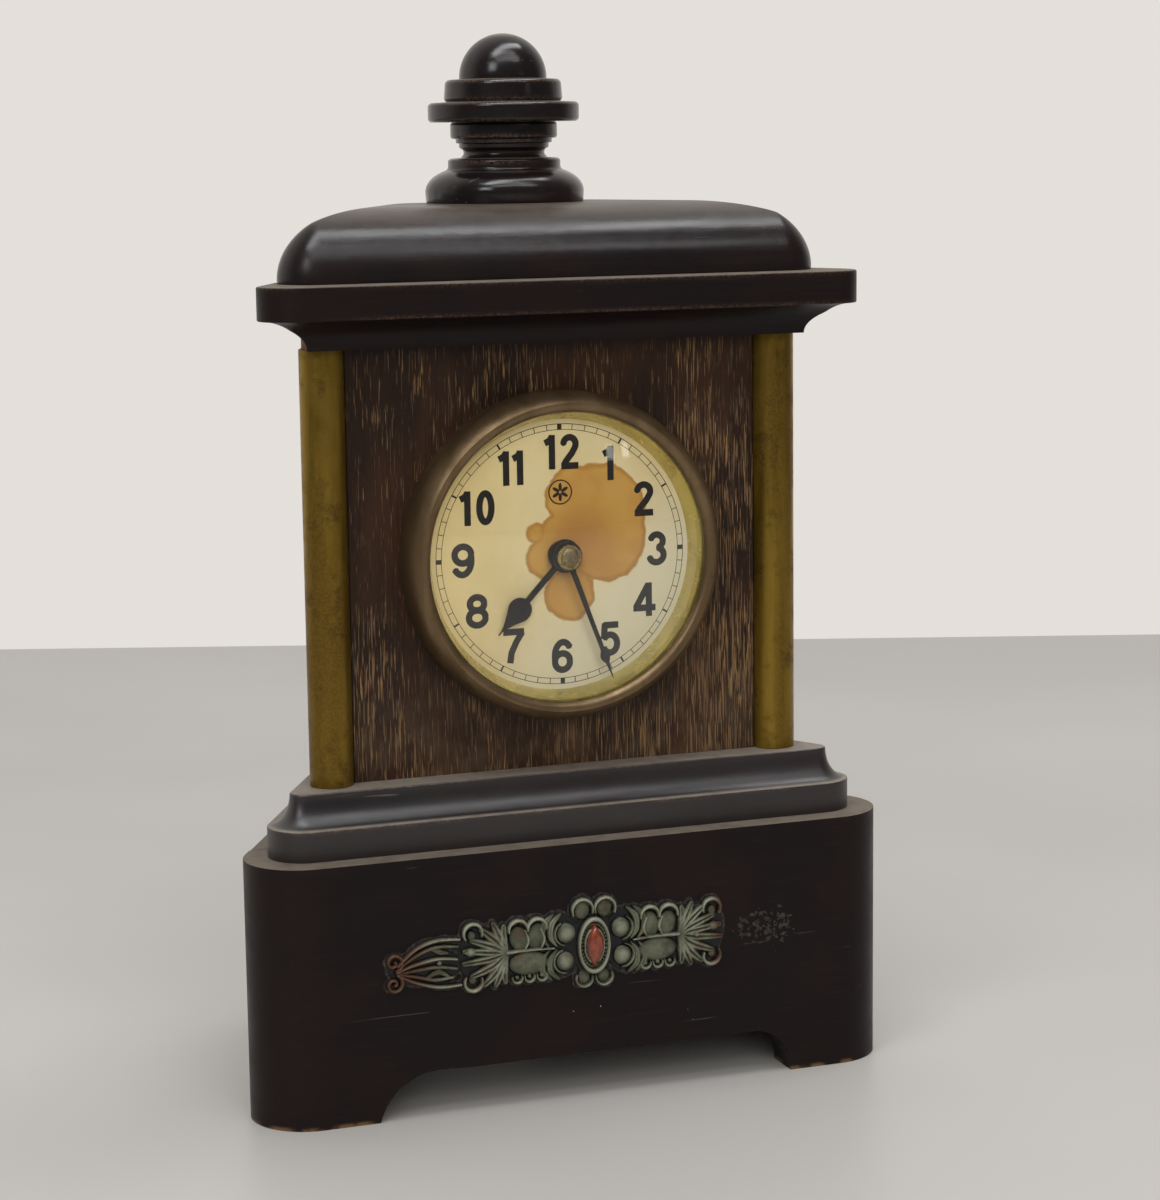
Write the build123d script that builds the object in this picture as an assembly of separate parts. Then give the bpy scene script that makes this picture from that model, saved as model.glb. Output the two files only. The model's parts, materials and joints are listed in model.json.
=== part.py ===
"""Small wooden shelf clock with brass columns and a one-day spring movement in a drum.

Frame: millimetres, +Z up, the front faces -Y.  The feet stand on z = 0 and the clock's box is
centred on x = 0, y = 0.  Depths inside the clock are written as distances behind the front face
of the base and turned into y by deep().  Movement pieces are placed by (x, up) from the dial centre.
"""
from build123d import *
import math
import os

os.makedirs("parts", exist_ok=True)

# ---------------------------------------------------------------- case: driving dimensions
base_half_width = 80.0
base_depth = 92.0
base_height = 62.5
base_corner = 13.8
side_taper = 28.2          # the sides run inwards to the back, degrees from the depth direction
base_board = 10.0
rail_thickness = 8.0
top_board_thickness = 6.0
front_board_depth = 24.0   # the front board carries its rounded corners back to here

foot_inner_x = 52.5
arch_height = 10.9
arch_run_left = 16.5
arch_run_right = 9.0
side_arch_start = 34.0
side_arch_end = 70.0
side_arch_run = 8.0
back_arch_half = 20.0

step_half_width = 73.9
step_inset = 6.1
step_corner = 8.8
step_depth = 88.0
step_fascia_top = 69.7
ledge_inset = 11.6
panel_bottom = 77.5
panel_top = 180.3

panel_depth = 19.5         # front face of the front panel behind the base front
panel_thickness = 6.0
panel_half_width = 51.4
column_x = 56.8
column_depth = 20.0
column_radius = 5.2
column_bore = 4.5
dowel_reach = 12.0
dowel_socket = 4.0

side_panel_x = 60.4        # outer face of a side panel at its front edge
side_panel_thickness = 5.0
stile_inner_x = 44.0
stile_depth = 10.0
back_frame_depth = 76.0
back_thickness = 4.0
door_half_width = 22.7
door_bottom = 88.3
door_top = 169.7
door_gap = 0.3

cornice_inset = 2.1
cornice_half_width = 74.0
cornice_corner = 8.0
cornice_depth = 88.0
cornice_cove_inset = 12.3
cornice_fascia_bottom = 187.6
cornice_top = 195.4
cap_inset = 11.0
cap_half_width = 66.4
cap_depth = 80.0
cap_corner = 9.0
cap_round = 20.0           # how far the top roundover runs in from the edge
cap_rim = 1.0              # upright edge left below it
cap_top = 212.2

finial_depth = 53.3
finial_tenon = 4.0
finial_dome = 10.7

ornament_relief = 3.2
ornament_height = 37.6
ornament_left = -51.0
ornament_right = 34.6
cabochon_x = 0.8
cabochon_half_width = 2.5
cabochon_half_height = 5.4

front_y = -(base_depth - ornament_relief) / 2
back_y = front_y + base_depth
taper = math.tan(math.radians(side_taper))

# ---------------------------------------------------------------- movement: driving dimensions
dial_z = 129.4
drum_radius = 35.6
drum_wall = 0.6
drum_front = 10.4
drum_back = 50.6
bezel_radius = 39.3
bezel_crest = 8.6
bezel_lip = 34.6
glass_crest = 6.0
dial_face = 16.0
dial_thickness = 0.6
front_plate_depth = 22.0
back_plate_depth = 41.0
plate_thickness = 1.0
plate_radius = drum_radius - drum_wall - 0.05
running = 0.04             # radial clearance of a running fit

# Layers of the movement, each a pair of depths: front, back.
arbor_layer = (23.1, 40.9)           # between the arbors' shoulders, just inside the plates
pivot_ends = (21.8, 42.2)
past_front_plate = (20, 24)          # cuts right through a plate
past_back_plate = (39, 44)
past_cover = (40, 60)
hour_hand_layer = (12.9, 13.4)
minute_hand_layer = (11.1, 11.5)
minute_pinion_layer = (18.2, 20.0)
hour_wheel_layer = (18.4, 19.2)
cannon_pinion_layer = (19.9, 21.0)
minute_wheel_layer = (20.0, 20.9)
third_pinion_layer = (24.0, 26.0)
centre_wheel_layer = (24.6, 25.4)
fourth_pinion_layer = (26.3, 28.5)
third_wheel_layer = (27.0, 27.8)
centre_pinion_layer = (28.4, 31.6)
escape_pinion_layer = (31.3, 33.4)
fourth_wheel_layer = (32.0, 32.7)
mainspring_layer = (33.0, 39.6)
balance_rim_layer = (34.0, 35.2)
pallet_pin_layer = (34.5, 36.6)
escape_wheel_layer = (35.0, 35.6)
roller_layer = (35.6, 36.0)
impulse_pin_layer = (35.8, 37.2)
lever_layer = (36.4, 37.0)
collet_layer = (38.2, 39.2)
hairspring_layer = (38.4, 38.9)
regulator_layer = (40.1, 40.8)
key_layer = (52.1, 59.0)
knob_layer = (52.6, 56.6)

# Radii and reaches of movement pieces.
centre_arbor_radius = 1.0
cannon_radius = 1.6
hour_pipe_radius = 2.4
winding_arbor_radius = 1.5
winding_square = 2.0
winding_square_depths = (52.0, 57.0)
stud_radius = 0.6
pillar_radius = 1.6
pillar_thread = 0.9
regulator_reach = 7.0
regulator_ring = 1.15                # boss on the back plate that the regulator turns on
regulator_slot_width = 2.4
regulator_tail_end = 53.0
hour_collar = 4.0
minute_collar = 3.7

great_module = 0.50
centre_module = 0.45
third_module = 0.40
fourth_module = 0.34
cannon_module = 0.35
hour_module = cannon_module * (12 + 36) / (10 + 40)
wheel_tooth = 0.40         # tooth width at the pitch circle, as a share of the pitch
pinion_tooth = 0.34
addendum = 0.75
dedendum = 1.05

minute_hand_angle = 159.4  # clockwise from 12, seen from the front
hour_hand_angle = 223.3
minute_hand_length = 32.8
hour_hand_length = 24.7


def polar(angle, radius, origin=(0, 0)):
    """A point at an angle in degrees, anticlockwise from +X seen from the front."""
    turn = math.radians(angle)
    return (origin[0] + radius * math.cos(turn), origin[1] + radius * math.sin(turn))


centre_at = (0.0, 0.0)
great_at = polar(225, great_module * (60 + 12) / 2)
third_at = polar(150, centre_module * (64 + 8) / 2)
fourth_at = polar(50, third_module * (60 + 8) / 2, third_at)
escape_at = polar(-10, fourth_module * (64 + 8) / 2, fourth_at)
lever_at = polar(-20, 8.75, escape_at)
balance_at = polar(-45, 9.0, lever_at)
minute_at = polar(-60, cannon_module * (12 + 36) / 2)
pillars_at = [polar(angle, 30.0) for angle in (-10, -62, 190, 80)]


def deep(depth):
    """y of a plane at this distance behind the front face of the base."""
    return front_y + depth


def save(shape, name):
    export_step(shape, f"parts/{name}.step")


# ---------------------------------------------------------------- shapes for the case
def plan(half_width, inset, back, corner, rounded=2):
    """Plan of one tier: straight front, sides tapering in to the back, and its front corners rounded.
    With rounded=4 the back corners are rounded as well."""
    slant = math.radians(side_taper)
    sharp_x = half_width - corner + corner * (1 + math.sin(slant)) / math.cos(slant)
    back_x = sharp_x - (back - inset) * taper
    outline = make_face(Polyline(
        (-sharp_x, deep(inset)), (sharp_x, deep(inset)),
        (back_x, deep(back)), (-back_x, deep(back)), close=True))
    corners = outline.vertices().sort_by(Axis.Y)[:rounded]
    return fillet(corners, corner)


def tier(half_width, inset, back, corner, bottom, top):
    return Pos(0, 0, bottom) * extrude(plan(half_width, inset, back, corner), top - bottom)


def block(x0, x1, depth0, depth1, z0, z1):
    middle = Pos((x0 + x1) / 2, deep((depth0 + depth1) / 2), (z0 + z1) / 2)
    return middle * Box(x1 - x0, depth1 - depth0, z1 - z0)


def edge_path(half_width, inset, back, corner, z):
    """The front and side edges of a tier at height z, as one path from the left back to the right back."""
    slant = math.radians(side_taper)
    arc_x = half_width - corner
    arc_y = deep(inset) + corner
    left_end = (-arc_x - corner * math.cos(slant), arc_y + corner * math.sin(slant))
    right_end = (-left_end[0], left_end[1])
    run = deep(back) + 6 - left_end[1]
    start = (left_end[0] + run * taper, left_end[1] + run)
    finish = (-start[0], start[1])
    middle_turn = (slant - math.pi / 2) / 2
    right_mid = (arc_x + corner * math.cos(middle_turn), arc_y + corner * math.sin(middle_turn))
    left_mid = (-right_mid[0], right_mid[1])
    return Wire([
        Edge.make_line((*start, z), (*left_end, z)),
        Edge.make_three_point_arc((*left_end, z), (*left_mid, z), (-arc_x, deep(inset), z)),
        Edge.make_line((-arc_x, deep(inset), z), (arc_x, deep(inset), z)),
        Edge.make_three_point_arc((arc_x, deep(inset), z), (*right_mid, z), (*right_end, z)),
        Edge.make_line((*right_end, z), (*finish, z)),
    ])


def cove_cutter(half_width, inset, back, corner, z, reach, height):
    """Solid that cuts a hollow along a tier's edge: reach inwards from the edge, height up (or down)."""
    path = edge_path(half_width, inset, back, corner, z)
    root = math.sqrt(0.5)
    outside = 3.0
    lift = math.copysign(outside, height)
    curve = ThreePointArc(
        (0, 0), (reach * root, height * (1 - root)), (reach, height))
    closing = Polyline((reach, height), (reach, height + lift), (-outside, height + lift), (-outside, 0),
                       (0, 0))
    start = path @ 0
    inwards = Vector(math.cos(math.radians(side_taper)), math.sin(math.radians(side_taper)), 0)
    section = make_face(Wire(curve.edges() + closing.edges()))
    profile = Plane(origin=start, x_dir=inwards, z_dir=path % 0) * section
    return sweep(profile, path=path)


def arch(x0, x1, run0, run1, height):
    """Outline of an opening over the floor: elliptical corners of two different runs."""
    root = math.sqrt(0.5)
    line_up = Line((x1, -1), (x1, 0))
    right = ThreePointArc((x1, 0), (x1 - run1 * (1 - root), height * root), (x1 - run1, height))
    across = Line((x1 - run1, height), (x0 + run0, height))
    left = ThreePointArc((x0 + run0, height), (x0 + run0 * (1 - root), height * root), (x0, 0))
    below = Polyline((x0, 0), (x0, -1), (x1, -1))
    return make_face(line_up + right + across + left + below)


def facing(sketch, depth0, depth1):
    """Extrude a sketch of (x, height) between two depths."""
    return Pos(0, deep(depth1), 0) * Rot(90, 0, 0) * extrude(sketch, depth1 - depth0)


# ---------------------------------------------------------------- shapes for the movement
def at_dial(place, shape):
    return Pos(place[0], 0, dial_z + place[1]) * shape


def turned(points, place=(0, 0)):
    """Solid of revolution about the depth direction from (radius, depth) points."""
    outline = make_face(Polyline(*[(radius, deep(depth)) for radius, depth in points], close=True))
    return at_dial(place, revolve(outline, Axis.Y))


def disc(radius, depth0, depth1, place=(0, 0), bore=0.0):
    return turned([(bore, depth0), (radius, depth0), (radius, depth1), (bore, depth1)], place)


def flat(sketch, depth0, depth1, place=(0, 0)):
    """Plate of a sketch drawn about its own (x, up) origin."""
    return at_dial(place, facing(sketch, depth0, depth1))


def joined(*shapes):
    whole = shapes[0]
    for shape in shapes[1:]:
        whole = whole + shape
    return whole


def teeth_outline(teeth, module, tooth, phase):
    """Gear outline with straight-flanked teeth; phase is the angle of the first tooth in degrees."""
    pitch_radius = module * teeth / 2
    tip_radius = pitch_radius + addendum * module
    root_radius = pitch_radius - dedendum * module
    half_width = tooth * math.pi * module / 2
    root_half = math.degrees(1.25 * half_width / root_radius)
    pitch_half = math.degrees(half_width / pitch_radius)
    tip_half = math.degrees(0.55 * half_width / tip_radius)
    points = []
    for index in range(teeth):
        middle = phase + index * 360 / teeth
        points.append(polar(middle - root_half, root_radius))
        points.append(polar(middle - pitch_half, pitch_radius))
        points.append(polar(middle - tip_half, tip_radius))
        points.append(polar(middle + tip_half, tip_radius))
        points.append(polar(middle + pitch_half, pitch_radius))
        points.append(polar(middle + root_half, root_radius))
    return make_face(Polyline(*points, close=True))


def crossings(inner, outer, spokes, arm):
    """The windows between a wheel's spokes."""
    windows = Circle(outer) - Circle(inner)
    for index in range(spokes):
        spoke = Rot(0, 0, index * 360 / spokes) * (Pos(outer / 2 + 0.5, 0) * Rectangle(outer + 1, arm))
        windows = windows - spoke
    return windows


def wheel(teeth, module, phase, depth0, depth1, place, spokes=5, hub=2.6):
    outline = teeth_outline(teeth, module, wheel_tooth, phase)
    rim_radius = module * teeth / 2 - 3.2 * module
    if spokes:
        outline = outline - crossings(hub, rim_radius, spokes, 1.3)
    return flat(outline, depth0, depth1, place)


def pinion(teeth, module, phase, depth0, depth1, place):
    return flat(teeth_outline(teeth, module, pinion_tooth, phase), depth0, depth1, place)


def meshed(teeth, phase, place, other_teeth, other_place):
    """Phase of the other gear that puts its gap where this gear has a tooth on the line of centres."""
    line = math.degrees(math.atan2(other_place[1] - place[1], other_place[0] - place[0]))
    offset = (phase - line) * teeth / 360
    return line + 180 + (0.5 - offset) * 360 / other_teeth


def arbor(radius, pivot, depth0, depth1, place):
    """Arbor between the plates with a pivot in each plate."""
    return turned([
        (0, front_plate_depth - 0.2), (pivot, front_plate_depth - 0.2), (pivot, depth0), (radius, depth0),
        (radius, depth1), (pivot, depth1), (pivot, back_plate_depth + plate_thickness + 0.2),
        (0, back_plate_depth + plate_thickness + 0.2)], place)


def spiral(inner, outer, turns, thickness, start_angle):
    """Flat spiral strip as a face; steps of 20 degrees joined by a smooth curve."""
    steps = int(turns * 18)
    inside = []
    outside = []
    for index in range(steps + 1):
        share = index / steps
        radius = inner + (outer - inner) * share
        angle = start_angle + turns * 360 * share
        inside.append(polar(angle, radius - thickness / 2))
        outside.append(polar(angle, radius + thickness / 2))
    edges = [
        Spline(*inside),
        Line(inside[-1], outside[-1]),
        Spline(*reversed(outside)),
        Line(outside[0], inside[0]),
    ]
    return make_face(edges)


def wood_screw(head, shank, length):
    """Countersunk screw pointing up from z = 0, with a slot."""
    cone = Pos(0, 0, head * 0.3) * Cone(head, shank, head * 0.6)
    body = Pos(0, 0, head * 0.6 + (length - head * 0.6) / 2) * Cylinder(shank, length - head * 0.6)
    slot = Pos(0, 0, 0.3) * Box(head * 2.2, 0.5, 0.6)
    return cone + body - slot


# ================================================================ the case
def build_base(ornament_pins):
    outer = tier(base_half_width, 0, base_depth, base_corner, 0, base_height)
    hollow = tier(base_half_width - base_board, base_board, base_depth - rail_thickness,
                  base_corner - base_board, 0, base_height)
    shell = outer - hollow
    far = 200
    front_arch = arch(-foot_inner_x, foot_inner_x, arch_run_left, arch_run_right, arch_height)
    front_opening = facing(front_arch, -5, 30)
    front_board = (shell & block(-far, far, -5, front_board_depth, -1, far)) - front_opening
    for pin in ornament_pins:
        front_board = front_board - pin
    side_opening = arch(deep(side_arch_start), deep(side_arch_end), side_arch_run, side_arch_run, arch_height)
    side_cut = Pos(-far, 0, 0) * Rot(90, 0, 90) * extrude(side_opening, 2 * far)
    rail_start = base_depth - rail_thickness
    sides = (shell & block(-far, far, front_board_depth, rail_start, -1, far)) - side_cut
    left = sides & block(-far, 0, 0, base_depth, -1, far)
    right = sides & block(0, far, 0, base_depth, -1, far)
    back_arch = arch(-back_arch_half, back_arch_half, side_arch_run, side_arch_run, arch_height)
    back_opening = facing(back_arch, 60, 95)
    rail = (shell & block(-far, far, rail_start, base_depth + 1, -1, far)) - back_opening

    board_bottom = base_height - top_board_thickness
    top_board = hollow & block(-far, far, 0, base_depth, board_bottom, base_height)
    under_board = hollow & block(-far, far, 0, base_depth, 18, board_bottom)
    front_corner = 14.0
    rear_inner = 28.0
    blocks = [
        under_board & block(54, far, base_board, base_board + front_corner, 0, far),
        under_board & block(-far, -54, base_board, base_board + front_corner, 0, far),
        under_board & block(rear_inner, far, rail_start - front_corner, rail_start, 0, far),
        under_board & block(-far, -rear_inner, rail_start - front_corner, rail_start, 0, far),
    ]
    screws = []
    for x, depth in ((-46, 24), (46, 24), (-24, 70), (24, 70)):
        screws.append(Pos(x, deep(depth), board_bottom) * wood_screw(3.4, 1.7, 16))
    for screw in screws:
        top_board = top_board - screw
    return front_board, left, right, rail, top_board, blocks, screws


def build_step(screws, dowels):
    step = tier(step_half_width, step_inset, step_depth, step_corner, base_height, panel_bottom)
    step = step - cove_cutter(step_half_width, step_inset, step_depth, step_corner, step_fascia_top,
                              ledge_inset - step_inset, panel_bottom - step_fascia_top)
    for cutter in screws + dowels:
        step = step - cutter
    return step


def build_cornice(dowels):
    cornice = tier(cornice_half_width, cornice_inset, cornice_depth, cornice_corner, panel_top, cornice_top)
    cornice = cornice - cove_cutter(cornice_half_width, cornice_inset, cornice_depth, cornice_corner,
                                    cornice_fascia_bottom, cornice_cove_inset - cornice_inset,
                                    panel_top - cornice_fascia_bottom)
    for cutter in dowels:
        cornice = cornice - cutter
    return cornice


def rounded_edge(edge_point, inwards, height):
    """Everything on the inner side of one edge of the cap, under an edge rounded to a quarter circle."""
    far = 200
    rim = height - cap_round
    outline = Polyline((cap_round, height), (far, height), (far, 0), (0, 0), (0, rim))
    outline += ThreePointArc((0, rim), polar(135, cap_round, (cap_round, rim)), (cap_round, height))
    inwards = Vector(*inwards, 0)
    section = Plane(origin=(*edge_point, 0), x_dir=inwards, z_dir=inwards.cross(Vector(0, 0, 1)))
    return extrude(section * make_face(outline), far, both=True)


def build_cap():
    """Domed board: drawn with circular edges that meet in mitres, then squeezed down to its real height."""
    height = cap_top - cornice_top
    full = cap_round + cap_rim
    slant = math.radians(side_taper)
    side_x = cap_half_width - cap_corner + cap_corner * (1 + math.sin(slant)) / math.cos(slant)
    cap = extrude(plan(cap_half_width, cap_inset, cap_depth, cap_corner, rounded=4), full)
    cap = cap & rounded_edge((0, deep(cap_inset)), (0, 1), full)
    cap = cap & rounded_edge((0, deep(cap_depth)), (0, -1), full)
    cap = cap & rounded_edge((side_x, deep(cap_inset)), (-math.cos(slant), -math.sin(slant)), full)
    cap = cap & rounded_edge((-side_x, deep(cap_inset)), (math.cos(slant), -math.sin(slant)), full)
    cap = scale(cap, by=(1, 1, height / full))
    socket = Pos(0, deep(finial_depth), height - 5) * Cylinder(finial_tenon, 10)
    return Pos(0, 0, cornice_top) * (cap - socket)


def build_finial():
    """Turned finial: bell foot, beaded neck, two discs and a dome, with a tenon below."""
    base = cap_top
    dome_base = base + 30.0
    outline = Line((0, base - 9), (finial_tenon, base - 9))
    outline += Line((finial_tenon, base - 9), (finial_tenon, base))
    outline += Line((finial_tenon, base), (19.4, base))
    outline += Line((19.4, base), (19.5, base + 2.6))
    outline += ThreePointArc((19.5, base + 2.6), (18.0, base + 6.4), (14.4, base + 8.4))
    outline += Polyline((14.4, base + 8.4), (13.8, base + 8.4), (13.8, base + 10.2), (13.2, base + 10.6))
    outline += Polyline((13.2, base + 10.6), (10.6, base + 10.8))
    outline += ThreePointArc((10.6, base + 10.8), (9.9, base + 12.0), (10.2, base + 13.2))
    outline += Polyline((10.2, base + 13.2), (11.0, base + 13.2), (11.0, base + 14.3), (11.8, base + 14.3),
                        (11.8, base + 15.4), (12.8, base + 15.4), (13.1, base + 15.9), (13.1, base + 18.9),
                        (12.6, base + 19.4), (17.9, base + 19.4), (18.5, base + 20.0), (18.5, base + 23.5),
                        (17.9, base + 24.1), (13.6, base + 24.3), (14.3, base + 24.9), (14.3, base + 28.9),
                        (13.6, base + 29.6), (finial_dome, base + 29.8), (finial_dome, dome_base))
    outline += ThreePointArc((finial_dome, dome_base), polar(45, finial_dome, (0, dome_base)),
                             (0, dome_base + finial_dome))
    outline += Line((0, dome_base + finial_dome), (0, base - 9))
    return Pos(0, deep(finial_depth), 0) * revolve(Plane.XZ * make_face(outline), Axis.Z)


def build_columns():
    tubes = []
    dowels = []
    for side in (-1, 1):
        place = Pos(side * column_x, deep(column_depth), 0)
        length = panel_top - panel_bottom
        tube = Cylinder(column_radius, length) - Cylinder(column_bore, length)
        tubes.append(place * Pos(0, 0, (panel_top + panel_bottom) / 2) * tube)
        dowel_length = dowel_reach + dowel_socket
        lower = panel_bottom + (dowel_reach - dowel_socket) / 2
        upper = panel_top - (dowel_reach - dowel_socket) / 2
        for height in (lower, upper):
            dowels.append(place * Pos(0, 0, height) * Cylinder(column_bore, dowel_length))
    return tubes, dowels


def side_line(depth, inwards=0.0):
    """x of the side panel's outer face, or of a parallel face further in, at a depth."""
    start = panel_depth + panel_thickness
    shift = inwards / math.cos(math.radians(side_taper))
    return side_panel_x - shift - (depth - start) * taper


def prism(points, z0, z1):
    outline = make_face(Polyline(*[(x, deep(depth)) for x, depth in points], close=True))
    return Pos(0, 0, z0) * extrude(outline, z1 - z0)


def build_body():
    front = panel_depth + panel_thickness
    rear = back_frame_depth
    side_points = [
        (side_line(front), front), (side_line(rear), rear),
        (side_line(rear, side_panel_thickness), rear), (side_line(front, side_panel_thickness), front)]
    right = prism(side_points, panel_bottom, panel_top)
    left = mirror(right, Plane.YZ)
    inner_front = side_line(front, side_panel_thickness)
    inner_rear = side_line(front + stile_depth, side_panel_thickness)
    stile_points = [(stile_inner_x, front), (inner_front, front), (inner_rear, front + stile_depth),
                    (stile_inner_x, front + stile_depth)]
    stile = prism(stile_points, panel_bottom, panel_top)
    stiles = [mirror(stile, Plane.YZ), stile]

    panel = block(-panel_half_width, panel_half_width, panel_depth, front, panel_bottom, panel_top)
    panel = panel - disc(drum_radius + 0.3, panel_depth - 1, front + 1)

    outer = rear + back_thickness
    frame_points = [(side_line(rear), rear), (side_line(outer), outer), (-side_line(outer), outer),
                    (-side_line(rear), rear)]
    frame = prism(frame_points, panel_bottom, panel_top)
    opening_half = door_half_width + door_gap
    frame = frame - block(-opening_half, opening_half, rear - 1, outer + 1, door_bottom - door_gap,
                          door_top + door_gap)
    door = block(-door_half_width, door_half_width, rear, outer, door_bottom, door_top)
    return panel, left, right, stiles, frame, door


# ---------------------------------------------------------------- back door furniture
hinge_x = -(door_half_width + door_gap / 2)
hinge_depth = back_frame_depth + back_thickness + 1.4
hinge_heights = (104.0, 154.0)
knuckle_radius = 1.3
pin_radius = 0.6
leaf_thickness = 0.8
latch_height = 129.0
latch_x = door_half_width - 4.0


def knuckle(height0, height1, bore):
    length = height1 - height0
    barrel = Cylinder(knuckle_radius, length) - Cylinder(bore, length + 1)
    return Pos(hinge_x, deep(hinge_depth), (height0 + height1) / 2) * barrel


def leaf(height0, height1, side):
    back_face = back_frame_depth + back_thickness
    near = hinge_x + side * 0.4
    far = hinge_x + side * 7.0
    plate = block(min(near, far), max(near, far), back_face, back_face + leaf_thickness, height0, height1)
    return plate


def build_hinges():
    frame_leaves = []
    door_leaves = []
    pins = []
    for middle in hinge_heights:
        low, high = middle - 7, middle + 7
        for height0, height1 in ((low, middle - 2.4), (middle + 2.4, high)):
            barrel = knuckle(height0, height1, pin_radius)
            frame_leaves.append(leaf(height0, height1, -1) + barrel)
        low, high = middle - 2.3, middle + 2.3
        door_leaf = leaf(low, high, 1) + knuckle(low, high, pin_radius + running)
        door_leaves.append(door_leaf)
        pins.append(Pos(hinge_x, deep(hinge_depth), middle) * Cylinder(pin_radius, 14))
    return frame_leaves, door_leaves, pins


def build_turn_button():
    """Turn button: a brass bar that swings over the frame, on a spindle with a small knob behind."""
    face = back_frame_depth + back_thickness
    centre = (latch_x, latch_height - dial_z)
    bar = flat(Pos(2.5, 0) * SlotOverall(13, 4.4), face + 0.1, face + 1.3, centre)
    spindle = turned([(0, face - 4), (1.2, face - 4), (1.2, face + 1.3), (1.6, face + 1.3), (1.6, face + 2.6),
                      (2.6, face + 3.2), (2.6, face + 4.6), (1.8, face + 5.4), (0, face + 5.4)], centre)
    hole = disc(1.2 + running, face - 5, face + 1, centre)
    return bar + spindle, hole


# ---------------------------------------------------------------- ornament on the base
def build_ornament():
    """Pressed metal mount: a leafy strip with a central boss, an oval cabochon and small pins."""
    middle = ornament_height
    clusters = [(-44.0, 13.0, 7.0), (-31.0, 13.0, 15.0), (-18.0, 17.0, 15.5), (-6.5, 12.0, 13.0),
                (8.5, 12.0, 13.0), (18.0, 15.0, 15.0), (28.0, 13.0, 15.0)]
    strip = Pos((ornament_left + ornament_right) / 2, middle)
    strip = strip * SlotOverall(ornament_right - ornament_left, 5.0)
    for x, width, height in clusters:
        strip = strip + Pos(x, middle) * Ellipse(width / 2, height / 2)
    strip = strip + Pos(cabochon_x, middle) * Ellipse(6.2, 9.4)
    for side in (-1, 1):
        strip = strip + Pos(cabochon_x + side * 3.2, middle + 9.3) * Circle(2.9)
        strip = strip + Pos(cabochon_x + side * 3.2, middle - 7.6) * Circle(2.6)
    plate = facing(strip, -1.4, 0)
    seat = Ellipse(cabochon_half_width, cabochon_half_height)
    collar = Pos(cabochon_x, middle) * (Ellipse(4.3, 7.2) - seat)
    mount = plate + facing(collar, -2.3, -1.0)
    mount = mount - facing(Pos(cabochon_x, middle) * seat, -4, -1.0)
    stone = Sphere(1.0)
    height = ornament_relief - 1.0
    stone = scale(stone, by=(cabochon_half_width, height, cabochon_half_height))
    stone = Pos(cabochon_x, deep(-1.0), middle) * stone
    stone = stone & block(-20, 20, -4, -1.0, 0, 100)
    pins = []
    for x in (-38.0, 27.0):
        pins.append(facing(Pos(x, middle) * Circle(0.5), -1.9, 7))
    for pin in pins:
        mount = mount - pin
    return mount, stone, pins


# ================================================================ drum, bezel, dial
def build_bezel():
    outline = Line((drum_radius, deep(panel_depth)), (bezel_radius, deep(panel_depth)))
    outline += Line((bezel_radius, deep(panel_depth)), (bezel_radius, deep(14.6)))
    outline += ThreePointArc((bezel_radius, deep(14.6)), (38.5, deep(10.6)), (36.8, deep(bezel_crest)))
    outline += ThreePointArc((36.8, deep(bezel_crest)), (35.4, deep(8.9)), (bezel_lip, deep(9.9)))
    outline += Polyline((bezel_lip, deep(9.9)), (bezel_lip, deep(drum_front)),
                        (drum_radius, deep(drum_front)), (drum_radius, deep(panel_depth)))
    return at_dial(centre_at, revolve(make_face(outline), Axis.Y))


def crown(crest, edge_radius, edge):
    """Arc from the axis at depth crest to (edge_radius, edge), with its centre on the axis."""
    sag = edge - crest
    curve_radius = (edge_radius ** 2 + sag ** 2) / (2 * sag)
    half = math.asin(edge_radius / curve_radius) / 2
    middle = (curve_radius * math.sin(half), deep(crest + curve_radius * (1 - math.cos(half))))
    return ThreePointArc((0, deep(crest)), middle, (edge_radius, deep(edge)))


def build_glass():
    rim = drum_radius - drum_wall - 0.1
    dome_edge = bezel_lip - 0.1
    inner_edge = drum_front + 0.9
    outline = crown(glass_crest, dome_edge, drum_front)
    outline += Polyline((dome_edge, deep(drum_front)), (rim, deep(drum_front)), (rim, deep(inner_edge)),
                        (dome_edge, deep(inner_edge)))
    outline += crown(glass_crest + 1, dome_edge, inner_edge)
    outline += Line((0, deep(glass_crest + 1)), (0, deep(glass_crest)))
    return at_dial(centre_at, revolve(make_face(outline), Axis.Y))


def build_sight_ring():
    rim = drum_radius - drum_wall - 0.05
    front = drum_front + 0.9
    return turned([(rim, front), (rim - 0.7, front), (32.6, dial_face - 0.3), (32.6, dial_face),
                   (rim, dial_face), (rim, dial_face - 0.4), (33.1, dial_face - 0.4), (rim, front + 1.2)])


def build_dial():
    dial = disc(drum_radius - drum_wall - 0.05, dial_face, dial_face + dial_thickness, bore=3.4)
    for angle in (60, 180, 300):
        dial = dial + disc(0.9, dial_face + dial_thickness, front_plate_depth, polar(angle, 27.0))
    return dial


def regulator_slot():
    """Curved slot that the regulator's tail moves in."""
    half = regulator_slot_width / 2
    ring = Circle(regulator_reach + half) - Circle(regulator_reach - half)
    return ring & (Pos(8, 0) * Rectangle(12, 7.6))


def build_drum():
    drum = disc(drum_radius, drum_front, drum_back, bore=drum_radius - drum_wall)
    rim = drum_radius - drum_wall
    cover = turned([(0, drum_back - 0.6), (rim - 0.6, drum_back - 0.6), (rim - 0.6, drum_back - 4),
                    (rim, drum_back - 4), (rim, drum_back), (0, drum_back)])
    cover = cover - disc(2.4, *past_cover, great_at) - disc(1.8, *past_cover)
    cover = cover - flat(regulator_slot(), *past_cover, balance_at)
    return drum, cover


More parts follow.
